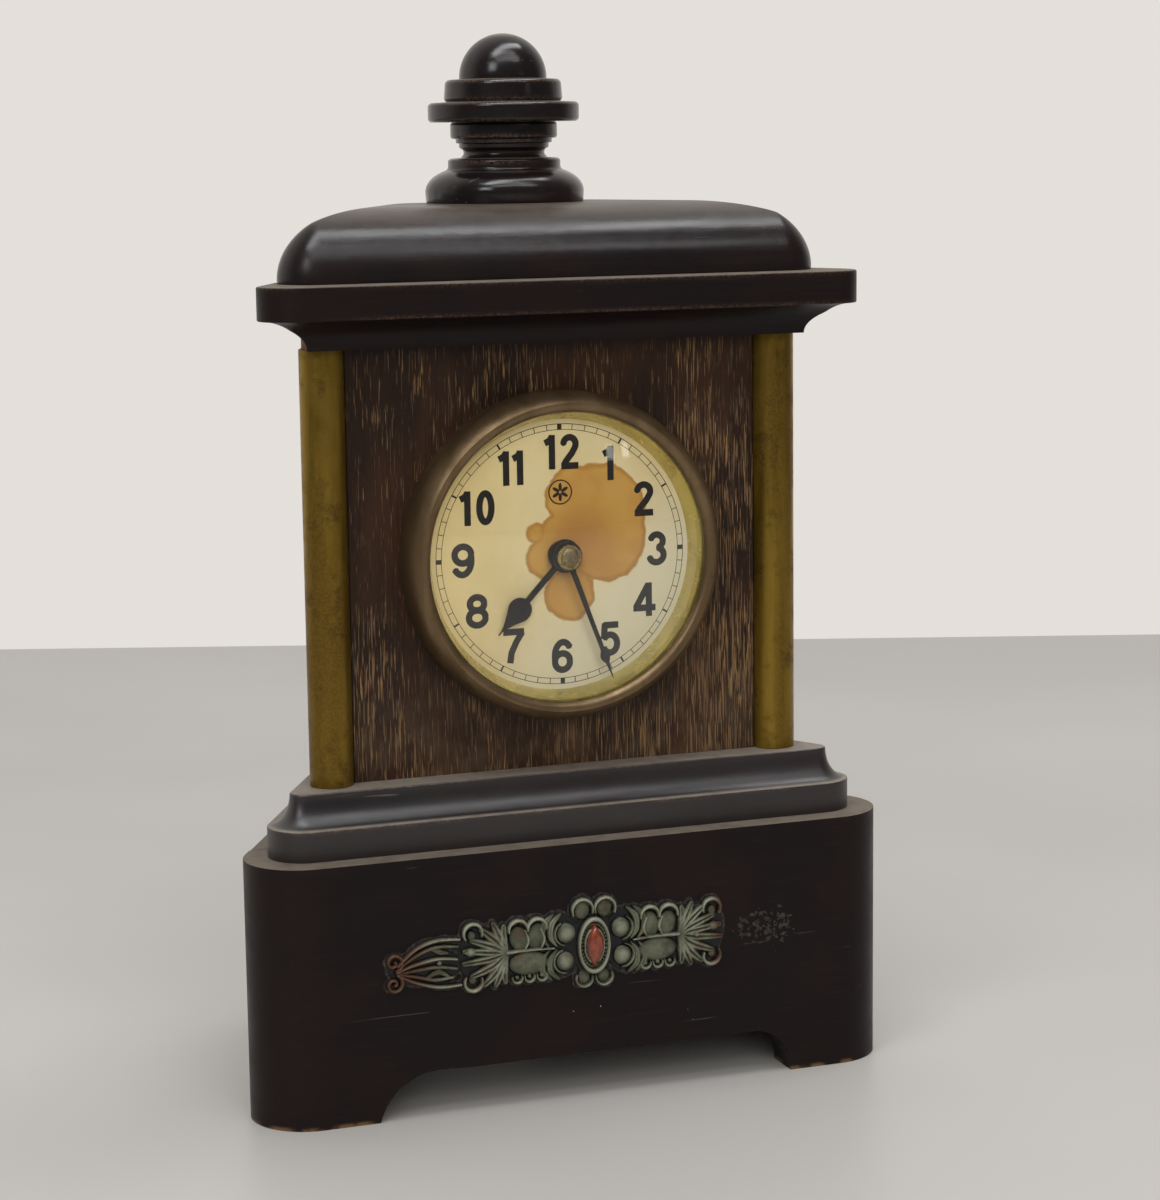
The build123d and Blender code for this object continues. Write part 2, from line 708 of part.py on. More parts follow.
def build_brackets():
    """Two angle straps that hold the drum from behind the front panel, and their screws."""
    front = panel_depth + panel_thickness
    brackets = []
    screws = []
    for side in (-1, 1):
        leg = block(drum_radius, drum_radius + 1, front, front + 15, dial_z - 5, dial_z + 5)
        foot = block(drum_radius, stile_inner_x - 0.4, front, front + 1, dial_z - 5, dial_z + 5)
        panel_screw = Pos(40, deep(front + 2.2), dial_z) * Rot(90, 0, 0) * wood_screw(2.0, 1.0, 6)
        drum_screw_at = Pos(drum_radius + 2.2, deep(front + 10), dial_z)
        drum_screw = drum_screw_at * Rot(0, -90, 0) * wood_screw(1.8, 0.9, 4)
        bracket = joined(leg, foot) - panel_screw - drum_screw
        if side < 0:
            bracket = mirror(bracket, Plane.YZ)
            panel_screw = mirror(panel_screw, Plane.YZ)
            drum_screw = mirror(drum_screw, Plane.YZ)
        brackets.append(bracket)
        screws.extend([panel_screw, drum_screw])
    return brackets, screws


# ================================================================ frame plates
def build_plates():
    back_end = back_plate_depth + plate_thickness
    front_plate = disc(plate_radius, front_plate_depth, front_plate_depth + plate_thickness)
    back_plate = disc(plate_radius, back_plate_depth, back_end)
    pivot_holes = [(great_at, 0.8), (third_at, 0.45), (fourth_at, 0.4), (escape_at, 0.35), (lever_at, 0.3),
                   (balance_at, 0.3), (centre_at, 1.0)]
    for place, radius in pivot_holes:
        front_plate = front_plate - disc(radius + running, *past_front_plate, place)
    boss = disc(regulator_ring, back_plate_depth - 1, back_plate_depth, balance_at)
    back_plate = back_plate + boss
    for place, radius in pivot_holes:
        size = winding_arbor_radius if place == great_at else radius
        back_plate = back_plate - disc(size + running, *past_back_plate, place)
    back_plate = back_plate - flat(regulator_slot(), *past_back_plate, balance_at)
    pillars = []
    nuts = []
    front_end = front_plate_depth
    for place in pillars_at:
        pillar = turned([
            (0, front_end), (pillar_thread, front_end), (pillar_thread, front_end + plate_thickness),
            (pillar_radius, front_end + plate_thickness), (pillar_radius, back_plate_depth),
            (pillar_thread, back_plate_depth), (pillar_thread, back_end + 2.2), (0, back_end + 2.2)], place)
        pillars.append(pillar)
        front_plate = front_plate - disc(pillar_thread, *past_front_plate, place)
        back_plate = back_plate - disc(pillar_thread, *past_back_plate, place)
        nuts.append(flat(RegularPolygon(2.0, 6) - Circle(pillar_thread), back_end, back_end + 1.6, place))
    stud = turned([(0, 17.6), (1.0, 17.6), (1.0, 18.1), (stud_radius, 18.1), (stud_radius, front_end + 0.5),
                   (0, front_end + 0.5)], minute_at)
    front_plate = front_plate + stud
    return front_plate, back_plate, pillars, nuts


# ================================================================ going train
great_phase = 0.0
centre_pinion_phase = meshed(60, great_phase, great_at, 12, centre_at)
centre_phase = 0.0
third_pinion_phase = meshed(64, centre_phase, centre_at, 8, third_at)
third_phase = 0.0
fourth_pinion_phase = meshed(60, third_phase, third_at, 8, fourth_at)
fourth_phase = 0.0
escape_pinion_phase = meshed(64, fourth_phase, fourth_at, 8, escape_at)
great_wheel_depth = 29.2
ratchet_depth = 31.0
ratchet_radius = 5.0
ratchet_teeth = 24
click_pivot_radius = 8.4
click_pivot_angle = 20.0


def build_great():
    start = great_wheel_depth
    great = wheel(60, great_module, great_phase, start, start + 1.2, great_at, spokes=0)
    great = great - disc(winding_arbor_radius + running, 28, 32, great_at)
    click_pivot = polar(click_pivot_angle, click_pivot_radius, great_at)
    rivet = turned([(0, start + 0.5), (0.6, start + 0.5), (0.6, ratchet_depth + 1.1),
                    (1.1, ratchet_depth + 1.1), (1.1, ratchet_depth + 1.5), (0, ratchet_depth + 1.5)],
                   click_pivot)
    spring_foot = polar(click_pivot_angle + 42, 10.5, great_at)
    foot = disc(0.6, start + 0.5, ratchet_depth + 0.9, spring_foot)
    return joined(great, rivet, foot)


def build_click():
    """Click lever: an eye on its rivet and a nose that points into the ratchet teeth."""
    nose_angle = click_pivot_angle - 45.5
    eye = polar(click_pivot_angle, click_pivot_radius)
    tip = polar(nose_angle, ratchet_radius - 0.35)
    shoulder = polar(nose_angle + 3, ratchet_radius + 1.3)
    body = make_hull(Edge.make_circle(1.3).moved(Location((*eye, 0))).edges()
                     + Edge.make_circle(0.5).moved(Location((*shoulder, 0))).edges())
    nose = make_face(Polyline(polar(nose_angle - 1, ratchet_radius + 1.6), tip,
                              polar(nose_angle + 1, ratchet_radius + 0.25),
                              polar(nose_angle + 9, ratchet_radius + 0.5), shoulder, close=True))
    shape = body + nose - (Pos(*eye) * Circle(0.6 + running))
    return flat(shape, ratchet_depth + 0.05, ratchet_depth + 0.95, great_at)


def build_click_spring():
    """Bent wire from its foot to just behind the click."""
    start = polar(click_pivot_angle + 36, 10.5)
    middle = polar(click_pivot_angle + 12, 11.2)
    end = polar(click_pivot_angle - 16, 9.4)
    wire = ThreePointArc(start, middle, end)
    strip = make_face(offset(wire, 0.15, side=Side.BOTH))
    return flat(strip, ratchet_depth + 0.3, ratchet_depth + 0.7, great_at)


def build_ratchet():
    points = []
    for index in range(ratchet_teeth):
        angle = -24 + index * 360 / ratchet_teeth
        points.append(polar(angle, ratchet_radius - 0.7))
        points.append(polar(angle + 1.0, ratchet_radius))
    outline = make_face(Polyline(*points, close=True))
    return flat(outline, ratchet_depth, ratchet_depth + 1.0, great_at)


def build_winding():
    """Winding arbor with a squared rear end, and the butterfly key on it."""
    start, shoulder = pivot_ends[0], arbor_layer[0]
    square_start, square_end = winding_square_depths
    arbor_body = turned([(0, start), (0.8, start), (0.8, shoulder), (winding_arbor_radius, shoulder),
                         (winding_arbor_radius, square_start), (0, square_start)], great_at)
    section = Rectangle(winding_square, winding_square)
    square = flat(section, square_start, square_end, great_at)
    hub = disc(2.8, *key_layer, great_at) - flat(section, square_start - 1, square_end, great_at)
    wing = Pos(5.2, 63.6) * Ellipse(4.6, 3.6) - Pos(5.4, 63.6) * Ellipse(2.6, 1.8)
    neck = Pos(0, 61.0) * Rectangle(3.6, 6.0)
    wings = wing + mirror(wing, Plane.YZ) + neck
    plate = Pos(0, front_y, 0) * extrude(wings, 1.2 / 2, both=True)
    return joined(arbor_body, square, build_ratchet()), hub + at_dial(great_at, plate)


def build_mainspring():
    coil = spiral(2.1, 11.2, 8, 0.32, 0)
    coil = coil + Pos(11.6, 0) * Rectangle(1.4, 0.32)
    return flat(coil, *mainspring_layer, great_at)


def build_centre():
    """Centre wheel with its pinion, loose on the centre arbor and gripped by a spring washer."""
    radius = centre_arbor_radius
    wheel_body = wheel(64, centre_module, centre_phase, *centre_wheel_layer, centre_at, hub=2.8)
    pipe = disc(1.9, centre_wheel_layer[0], centre_pinion_layer[0])
    leaves = pinion(12, great_module, centre_pinion_phase, *centre_pinion_layer, centre_at)
    centre = joined(wheel_body, pipe, leaves) - disc(radius + running, 20, 40)
    washer = turned([(radius + 0.05, 32.4), (2.4, 31.7), (2.4, 31.9), (radius + 0.05, 32.6)])
    washer = washer - disc(radius, 20, 40)
    rod = turned([(0, 8.9), (radius, 8.9), (radius, 23.2), (1.8, 23.2), (1.8, 24.5), (radius, 24.5),
                  (radius, 32.6), (2.2, 32.6), (2.2, 33.6), (radius, 33.6), (radius, 56.0), (0, 56.0)])
    return centre, washer, rod


def build_set_knob():
    knob = Circle(4.6)
    for index in range(24):
        knob = knob - Pos(*polar(index * 15, 4.9)) * Circle(0.5)
    knob = knob - Circle(centre_arbor_radius)
    return flat(knob, *knob_layer)


def build_third():
    body = arbor(0.8, 0.45, *arbor_layer, third_at)
    leaves = pinion(8, centre_module, third_pinion_phase, *third_pinion_layer, third_at)
    rim = wheel(60, third_module, third_phase, *third_wheel_layer, third_at, hub=2.2)
    return joined(body, leaves, rim)


def build_fourth():
    body = arbor(0.7, 0.4, *arbor_layer, fourth_at)
    leaves = pinion(8, third_module, fourth_pinion_phase, *fourth_pinion_layer, fourth_at)
    rim = wheel(64, fourth_module, fourth_phase, *fourth_wheel_layer, fourth_at, hub=2.0)
    return joined(body, leaves, rim)


def build_escape():
    body = arbor(0.6, 0.35, *arbor_layer, escape_at)
    leaves = pinion(8, fourth_module, escape_pinion_phase, *escape_pinion_layer, escape_at)
    points = []
    for index in range(15):
        angle = index * 24
        points.append(polar(angle, 5.0))
        points.append(polar(angle + 3, 6.2))
        points.append(polar(angle + 6, 6.5))
        points.append(polar(angle + 9, 6.3))
        points.append(polar(angle + 8, 5.0))
    outline = make_face(Polyline(*points, close=True)) - crossings(1.7, 4.0, 4, 0.8)
    return joined(body, leaves, flat(outline, *escape_wheel_layer, escape_at))


def bar_between(start, end, width):
    length = math.dist(start, end)
    angle = math.degrees(math.atan2(end[1] - start[1], end[0] - start[0]))
    middle = ((start[0] + end[0]) / 2, (start[1] + end[1]) / 2)
    return Pos(*middle) * Rot(0, 0, angle) * SlotOverall(length + width, width)


def build_lever():
    """Pin-pallet lever: two arms with pins that reach forward past the escape wheel, and a fork."""
    origin = (0, 0)
    pins = []
    shape = Circle(1.3)
    for angle in (22, -62):
        pin = polar(angle, 7.4, escape_at)
        local = (pin[0] - lever_at[0], pin[1] - lever_at[1])
        shape = shape + bar_between(origin, local, 1.2)
        pins.append(disc(0.25, *pallet_pin_layer, pin))
    fork_end = polar(-45, 6.9)
    shape = shape + bar_between(origin, fork_end, 1.2)
    shape = shape + Pos(*polar(-45, 6.4)) * Rot(0, 0, -45) * Rectangle(1.6, 2.2)
    shape = shape - Pos(*polar(-45, 7.4)) * Rot(0, 0, -45) * Rectangle(1.8, 0.8)
    plate = flat(shape, *lever_layer, lever_at)
    return joined(arbor(0.5, 0.3, *arbor_layer, lever_at), plate, *pins)


def build_balance():
    """Balance: rim on two arms, staff with pivots, roller with its impulse pin."""
    start, end = pivot_ends
    shoulder = arbor_layer[0]
    staff = turned([(0, start), (0.3, start), (0.3, shoulder), (0.6, shoulder), (0.6, 39.9), (0.3, 39.9),
                    (0.3, end), (0, end)], balance_at)
    rim = Circle(8.0) - Circle(6.9)
    rim = rim + Rectangle(15, 1.3) + Circle(1.6)
    roller = disc(1.7, *roller_layer, balance_at)
    pin = disc(0.2, *impulse_pin_layer, polar(135, 1.25, balance_at))
    collet = disc(1.1, *collet_layer, balance_at)
    return joined(staff, flat(rim, *balance_rim_layer, balance_at), roller, pin, collet)


def build_hairspring():
    coil = spiral(1.35, 5.4, 9, 0.14, 0)
    return flat(coil, *hairspring_layer, balance_at)


def build_regulator():
    """Regulator arm on the back plate's boss; its tail passes out through the slots behind."""
    ring = Circle(2.2) + bar_between((0, 0), (regulator_reach, 0), 1.4)
    ring = ring - Circle(regulator_ring + running)
    arm = flat(ring, *regulator_layer, balance_at)
    tail_at = (balance_at[0] + regulator_reach, balance_at[1])
    tail = disc(0.6, regulator_layer[0], regulator_tail_end, tail_at)
    return joined(arm, tail)


# ================================================================ motion work and hands
cannon_phase = 0.0
minute_phase = meshed(12, cannon_phase, centre_at, 36, minute_at)
minute_pinion_phase = 0.0
hour_phase = meshed(10, minute_pinion_phase, minute_at, 40, centre_at)


def build_motion():
    cannon = joined(disc(cannon_radius, 10.9, 21.6),
                    pinion(12, cannon_module, cannon_phase, *cannon_pinion_layer, centre_at))
    cannon = cannon - disc(centre_arbor_radius, 8, 23)
    minute = joined(wheel(36, cannon_module, minute_phase, *minute_wheel_layer, minute_at, hub=2.4),
                    pinion(10, hour_module, minute_pinion_phase, *minute_pinion_layer, minute_at))
    minute = minute - disc(stud_radius + running, 15, 24, minute_at)
    hour = joined(wheel(40, hour_module, hour_phase, *hour_wheel_layer, centre_at, hub=3.2),
                  disc(hour_pipe_radius, 12.8, hour_wheel_layer[0]))
    hour = hour - disc(cannon_radius + 0.06, 10, 22)
    return cannon, minute, hour


def build_hour_hand():
    """Pear-shaped hand: round collar, slim shank, a bulb and a fine point."""
    length = hour_hand_length
    bulb = Pos(0, length * 0.70) * Ellipse(3.0, 3.6)
    point = make_face(Polyline((-2.1, length * 0.78), (0, length), (2.1, length * 0.78), close=True))
    shank = Pos(0, length * 0.33) * Rectangle(1.3, length * 0.66)
    shape = bulb + point + shank + Circle(hour_collar) - Circle(hour_pipe_radius)
    return flat(Rot(0, 0, -hour_hand_angle) * shape, *hour_hand_layer)


def build_minute_hand():
    """Slim tapering hand with a small pear near its tip."""
    length = minute_hand_length
    blade = make_face(Polyline((-0.75, 0), (-0.5, length * 0.8), (0, length), (0.5, length * 0.8), (0.75, 0),
                               close=True))
    pear = Pos(0, length * 0.80) * Ellipse(0.95, 2.3)
    shape = blade + pear + Circle(minute_collar) - Circle(cannon_radius)
    return flat(Rot(0, 0, -minute_hand_angle) * shape, *minute_hand_layer)


def build_cap_nut():
    outline = ThreePointArc((0, deep(7.9)), (1.9, deep(8.35)), (3.0, deep(9.6)))
    outline += Polyline((3.0, deep(9.6)), (3.0, deep(10.8)), (1.0, deep(10.8)), (1.0, deep(8.9)),
                        (0, deep(8.9)), (0, deep(7.9)))
    return at_dial(centre_at, revolve(make_face(outline), Axis.Y))


# ================================================================ build and write every piece
def group(shapes):
    return Compound(children=[part for part in shapes])


def main():
    tubes, dowels = build_columns()
    mount, stone, ornament_pins = build_ornament()
    front_board, base_left, base_right, rail, top_board, blocks, screws = build_base(ornament_pins)
    panel, side_left, side_right, stiles, frame, door = build_body()
    brackets, bracket_screws = build_brackets()
    button, spindle_hole = build_turn_button()
    drum, cover = build_drum()
    for screw in bracket_screws:
        panel = panel - screw
        drum = drum - screw

    save(front_board, "base_front_board")
    save(base_left, "base_side_left")
    save(base_right, "base_side_right")
    save(rail, "base_back_rail")
    save(top_board, "base_top_board")
    save(group(blocks + stiles), "glue_blocks")
    save(group(screws + bracket_screws), "case_screws")
    save(build_step(screws, dowels), "step_moulding")
    save(build_cornice(dowels), "cornice")
    save(build_cap(), "dome_cap")
    save(build_finial(), "finial")
    save(tubes[0], "column_left")
    save(tubes[1], "column_right")
    save(group(dowels), "column_dowels")
    save(panel, "front_panel")
    save(side_left, "side_panel_left")
    save(side_right, "side_panel_right")
    save(mount, "ornament_mount")
    save(stone, "ornament_cabochon")
    save(group(ornament_pins), "ornament_pins")

    frame_leaves, door_leaves, hinge_pins = build_hinges()
    save(frame, "back_frame")
    save(door - spindle_hole, "back_door")
    save(group(frame_leaves), "hinge_frame_leaves")
    save(group(door_leaves), "hinge_door_leaves")
    save(group(hinge_pins), "hinge_pins")
    save(button, "door_turn_button")

    save(build_bezel(), "bezel")
    save(build_sight_ring(), "sight_ring")
    save(build_glass(), "dial_glass")
    save(build_dial(), "dial")
    save(drum, "drum_case")
    save(cover, "drum_back_cover")
    save(group(brackets), "drum_brackets")

    front_plate, back_plate, pillars, nuts = build_plates()
    save(front_plate, "front_plate")
    save(back_plate, "back_plate")
    save(group(pillars), "plate_pillars")
    save(group(nuts), "pillar_nuts")

    winding_arbor, key = build_winding()
    save(build_great(), "great_wheel")
    save(build_click(), "click")
    save(build_click_spring(), "click_spring")
    save(winding_arbor, "winding_arbor")
    save(key, "winding_key")
    save(build_mainspring(), "mainspring")

    centre, washer, rod = build_centre()
    save(centre, "centre_wheel")
    save(washer, "friction_washer")
    save(rod, "centre_arbor")
    save(build_set_knob(), "hand_setting_knob")
    save(build_third(), "third_wheel")
    save(build_fourth(), "fourth_wheel")
    save(build_escape(), "escape_wheel")
    save(build_lever(), "pallet_lever")
    save(build_balance(), "balance_wheel")
    save(build_hairspring(), "hairspring")
    save(build_regulator(), "regulator_lever")

    cannon, minute, hour = build_motion()
    save(cannon, "cannon_pinion")
    save(minute, "minute_wheel")
    save(hour, "hour_wheel")
    save(build_hour_hand(), "hour_hand")
    save(build_minute_hand(), "minute_hand")
    save(build_cap_nut(), "centre_cap")


main()
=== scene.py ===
"""Looks of the wooden shelf clock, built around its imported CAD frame.

The frame's units are metres, +Z up, with the front facing -Y.  Sizes of the clock are written in
millimetres and turned into metres by MM.  Depths are distances behind the front of the base.  Lights,
camera and floor are placed in metres.
"""
import json
import math

import bmesh
import bpy
import numpy as np
from mathutils import Matrix, Vector
from mathutils.noise import noise as perlin

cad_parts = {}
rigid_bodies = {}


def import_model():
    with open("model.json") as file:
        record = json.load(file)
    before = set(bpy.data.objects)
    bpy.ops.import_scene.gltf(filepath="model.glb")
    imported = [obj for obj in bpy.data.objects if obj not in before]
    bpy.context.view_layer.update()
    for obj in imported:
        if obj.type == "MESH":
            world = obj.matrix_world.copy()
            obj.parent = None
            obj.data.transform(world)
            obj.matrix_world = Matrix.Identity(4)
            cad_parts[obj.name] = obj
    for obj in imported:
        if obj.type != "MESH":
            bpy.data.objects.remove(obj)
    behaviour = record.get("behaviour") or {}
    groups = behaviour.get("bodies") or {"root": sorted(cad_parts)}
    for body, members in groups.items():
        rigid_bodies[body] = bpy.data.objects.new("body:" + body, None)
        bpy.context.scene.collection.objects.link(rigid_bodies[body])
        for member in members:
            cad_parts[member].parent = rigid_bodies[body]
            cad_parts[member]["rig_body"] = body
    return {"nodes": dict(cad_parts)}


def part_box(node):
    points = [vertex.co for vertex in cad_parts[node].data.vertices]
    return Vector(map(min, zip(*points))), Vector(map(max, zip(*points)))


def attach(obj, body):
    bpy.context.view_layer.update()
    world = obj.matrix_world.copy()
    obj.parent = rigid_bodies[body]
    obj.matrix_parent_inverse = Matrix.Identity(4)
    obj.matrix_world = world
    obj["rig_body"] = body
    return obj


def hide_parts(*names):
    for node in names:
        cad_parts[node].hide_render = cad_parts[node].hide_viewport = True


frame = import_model()
bpy.context.view_layer.update()
nodes = frame["nodes"]

MM = 0.001
side_slant = math.radians(28.2)          # the sides run in towards the back
front_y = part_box("base_front_board")[0].y / MM
dial_low, dial_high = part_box("dial")
dial_z = (dial_low.z + dial_high.z) / 2 / MM
dial_face = dial_low.y / MM - front_y    # depth of the dial's face


def deep(depth):
    """y in millimetres of a plane at this depth behind the front of the base."""
    return front_y + depth


def extent(node):
    """A node's box in millimetres, as (low, high) pairs across, in depth and upwards."""
    low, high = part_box(node)
    depths = (low.y / MM - front_y, high.y / MM - front_y)
    return (low.x / MM, high.x / MM), depths, (low.z / MM, high.z / MM)


def tier_extent(node):
    """Half width, front depth, back depth, bottom and top of a tier of the case."""
    across, (front, back), (bottom, top) = extent(node)
    return across[1], front, back, bottom, top


# ================================================================ camera, lights, floor
def make_camera():
    yaw, pitch, roll = (math.radians(angle) for angle in (20.136, 8.993, -0.743))
    forward = Vector((math.sin(yaw) * math.cos(pitch), math.cos(yaw) * math.cos(pitch), -math.sin(pitch)))
    level = Vector((math.cos(yaw), -math.sin(yaw), 0))
    up = level.cross(forward)
    right = math.cos(roll) * level + math.sin(roll) * up
    up = -math.sin(roll) * level + math.cos(roll) * up
    data = bpy.data.cameras.new("camera")
    data.lens = 89.34
    data.sensor_width = 36.0
    data.clip_start = 0.05
    data.clip_end = 50.0
    camera = bpy.data.objects.new("camera", data)
    bpy.context.scene.collection.objects.link(camera)
    turn = Matrix((right, up, -forward)).transposed()
    camera.matrix_world = Matrix.Translation((-0.2381, -0.6905, 0.2297)) @ turn.to_4x4()
    bpy.context.scene.camera = camera


def area_light(name, place, target, size, power, colour=(1, 1, 1), mirrored=True):
    """Rectangular light; mirrored=False keeps it out of reflections."""
    data = bpy.data.lights.new(name, "AREA")
    data.shape = "RECTANGLE"
    data.size, data.size_y = size
    data.energy = power
    data.color = colour
    light = bpy.data.objects.new(name, data)
    bpy.context.scene.collection.objects.link(light)
    light.location = place
    light.rotation_euler = (Vector(target) - Vector(place)).to_track_quat("-Z", "Y").to_euler()
    light.visible_glossy = mirrored


def make_studio():
    """Pale surroundings: a bright wall behind, a dimmer room in front, soft lamps overhead and in front."""
    scene = bpy.context.scene
    scene.view_settings.view_transform = "Standard"
    world = bpy.data.worlds.new("studio")
    scene.world = world
    world.use_nodes = True
    graph = Graph(world.node_tree)
    wall = (0.775, 0.74, 0.70)
    direction = graph.node("ShaderNodeTexCoord").outputs["Generated"]
    behind = graph.span(graph.axes(direction)["Y"], -0.15, 0.55)
    room = graph.mix(behind, (0.10, 0.10, 0.105), wall)
    seen = graph.node("ShaderNodeLightPath").outputs["Is Camera Ray"]
    background = graph.node("ShaderNodeBackground", {"Color": graph.mix(seen, room, wall), "Strength": 1.0})
    graph.node("ShaderNodeOutputWorld", {"Surface": background.outputs["Background"]})
    cool = (0.97, 0.98, 1.0)
    area_light("ceiling_strip", (0.05, -0.12, 1.5), (0, 0, 0.1), (1.7, 0.30), 13, cool)
    area_light("ceiling_glow", (0.2, 0.3, 2.2), (0, 0, 0), (3.0, 2.0), 16, (1.0, 0.985, 0.96), mirrored=False)
    area_light("window", (-1.25, -1.1, 1.15), (0, 0, 0.15), (0.45, 0.6), 6, cool)
    area_light("ceiling_front", (0.0, -1.0, 1.5), (0, 0, 0.1), (1.6, 0.35), 6.5, cool)
    area_light("ceiling_middle", (-0.1, -0.5, 1.5), (0, 0, 0.1), (1.2, 0.2), 3.4, (0.95, 0.97, 1.0))
    area_light("front_glow", (-0.5, -2.3, 1.1), (0, 0, 0.1), (2.0, 1.4), 42, (1.0, 0.98, 0.95),
               mirrored=False)
    for side in (-1, 1):
        area_light(f"pane_{side + 1}", (1.12 + 0.06 * side, -1.84 + 0.036 * side, 0.62), (0, 0, 0.13),
                   (0.06, 0.11), 0.06)


def make_floor():
    """A plain pale table, square to the camera, whose far edge ends behind the clock."""
    mesh = bpy.data.meshes.new("floor")
    camera = bpy.context.scene.camera
    heading = -camera.matrix_world.col[2].to_3d()
    heading.z = 0
    heading.normalize()
    aside = Vector((heading.y, -heading.x, 0))
    under_camera = Vector((camera.location.x, camera.location.y, 0))
    far, near, half = 1.33, -3.0, 4.0
    corners = [under_camera + heading * out + aside * across
               for out, across in ((near, -half), (near, half), (far, half), (far, -half))]
    mesh.from_pydata([tuple(corner) for corner in corners], [], [(0, 1, 2, 3)])
    floor = bpy.data.objects.new("floor", mesh)
    bpy.context.scene.collection.objects.link(floor)
    mesh.materials.append(floor_material())


# ================================================================ node graph helpers
class Graph:
    """Short ways to add nodes to a node tree: a value is linked if it is a socket, else set."""

    def __init__(self, tree):
        self.tree = tree
        tree.nodes.clear()

    def node(self, kind, inputs=None, **settings):
        made = self.tree.nodes.new(kind)
        for key, value in settings.items():
            setattr(made, key, value)
        for key, value in (inputs or {}).items():
            self.feed(made.inputs[key], value)
        return made

    def feed(self, socket, value):
        if isinstance(value, bpy.types.NodeSocket):
            self.tree.links.new(value, socket)
        elif socket.type == "RGBA":
            socket.default_value = (*value, 1.0)
        else:
            socket.default_value = value

    def place(self, stretch=(1, 1, 1), turn=(0, 0, 0)):
        """Object coordinates in millimetres, turned and then stretched."""
        source = self.node("ShaderNodeTexCoord").outputs["Object"]
        scale = tuple(value / MM for value in stretch)
        mapping = self.node("ShaderNodeMapping", {"Vector": source, "Rotation": turn, "Scale": scale})
        return mapping.outputs["Vector"]

    def axes(self, vector):
        return self.node("ShaderNodeSeparateXYZ", {"Vector": vector}).outputs

    def noise(self, vector, scale, detail=3.0, roughness=0.55, distortion=0.0):
        made = self.node("ShaderNodeTexNoise", {
            "Vector": vector, "Scale": scale, "Detail": detail, "Roughness": roughness,
            "Distortion": distortion})
        return made.outputs["Fac"]

    def math(self, operation, first, second=0.0, third=0.0):
        made = self.node("ShaderNodeMath", operation=operation)
        for socket, value in zip(made.inputs, (first, second, third)):
            self.feed(socket, value)
        return made.outputs["Value"]

    def span(self, value, low, high, to_low=0.0, to_high=1.0):
        """value from low..high to to_low..to_high, clamped, with soft ends."""
        made = self.node("ShaderNodeMapRange", {
            "Value": value, "From Min": low, "From Max": high, "To Min": to_low, "To Max": to_high},
            interpolation_type="SMOOTHSTEP")
        return made.outputs["Result"]

    def mix(self, share, first, second):
        made = self.node("ShaderNodeMix", data_type="RGBA")
        self.feed(made.inputs["Factor"], share)
        for socket, value in ((made.inputs[6], first), (made.inputs[7], second)):
            self.feed(socket, value)
        return made.outputs[2]

    def times(self, *values):
        product = values[0]
        for value in values[1:]:
            product = self.math("MULTIPLY", product, value)
        return product

    def attribute(self, name):
        return self.node("ShaderNodeAttribute", attribute_name=name).outputs["Fac"]

    def upward(self):
        normal = self.node("ShaderNodeNewGeometry").outputs["Normal"]
        return self.axes(normal)["Z"]

    def bump(self, height, strength, distance, normal=None):
        made = self.node("ShaderNodeBump", {
            "Height": height, "Strength": strength, "Distance": distance * MM})
        if normal is not None:
            self.feed(made.inputs["Normal"], normal)
        return made.outputs["Normal"]

    def surface(self, **inputs):
        """Principled surface and output; keys are socket names with _ for a space."""
        named = {key.replace("_", " "): value for key, value in inputs.items()}
        shader = self.node("ShaderNodeBsdfPrincipled", named)
        self.node("ShaderNodeOutputMaterial", {"Surface": shader.outputs["BSDF"]})
        return shader


def new_material(name):
    material = bpy.data.materials.new(name)
    material.use_nodes = True
    return material, Graph(material.node_tree)


def srgb(red, green, blue):
    """Linear colour from 0..255 display values."""
    shares = [value / 255 for value in (red, green, blue)]
    return tuple(((v + 0.055) / 1.055) ** 2.4 if v > 0.04 else v / 12.92 for v in shares)


# ================================================================ materials
def floor_material():
    material, graph = new_material("floor_grey")
    where = graph.node("ShaderNodeTexCoord").outputs["Object"]
    patches = graph.noise(where, 3.0, 3.0)
    colour = graph.mix(graph.span(patches, 0.35, 0.65), srgb(156, 153, 149), srgb(162, 159, 155))
    graph.surface(Base_Color=colour, Roughness=0.42, Specular_IOR_Level=0.35)
    return material


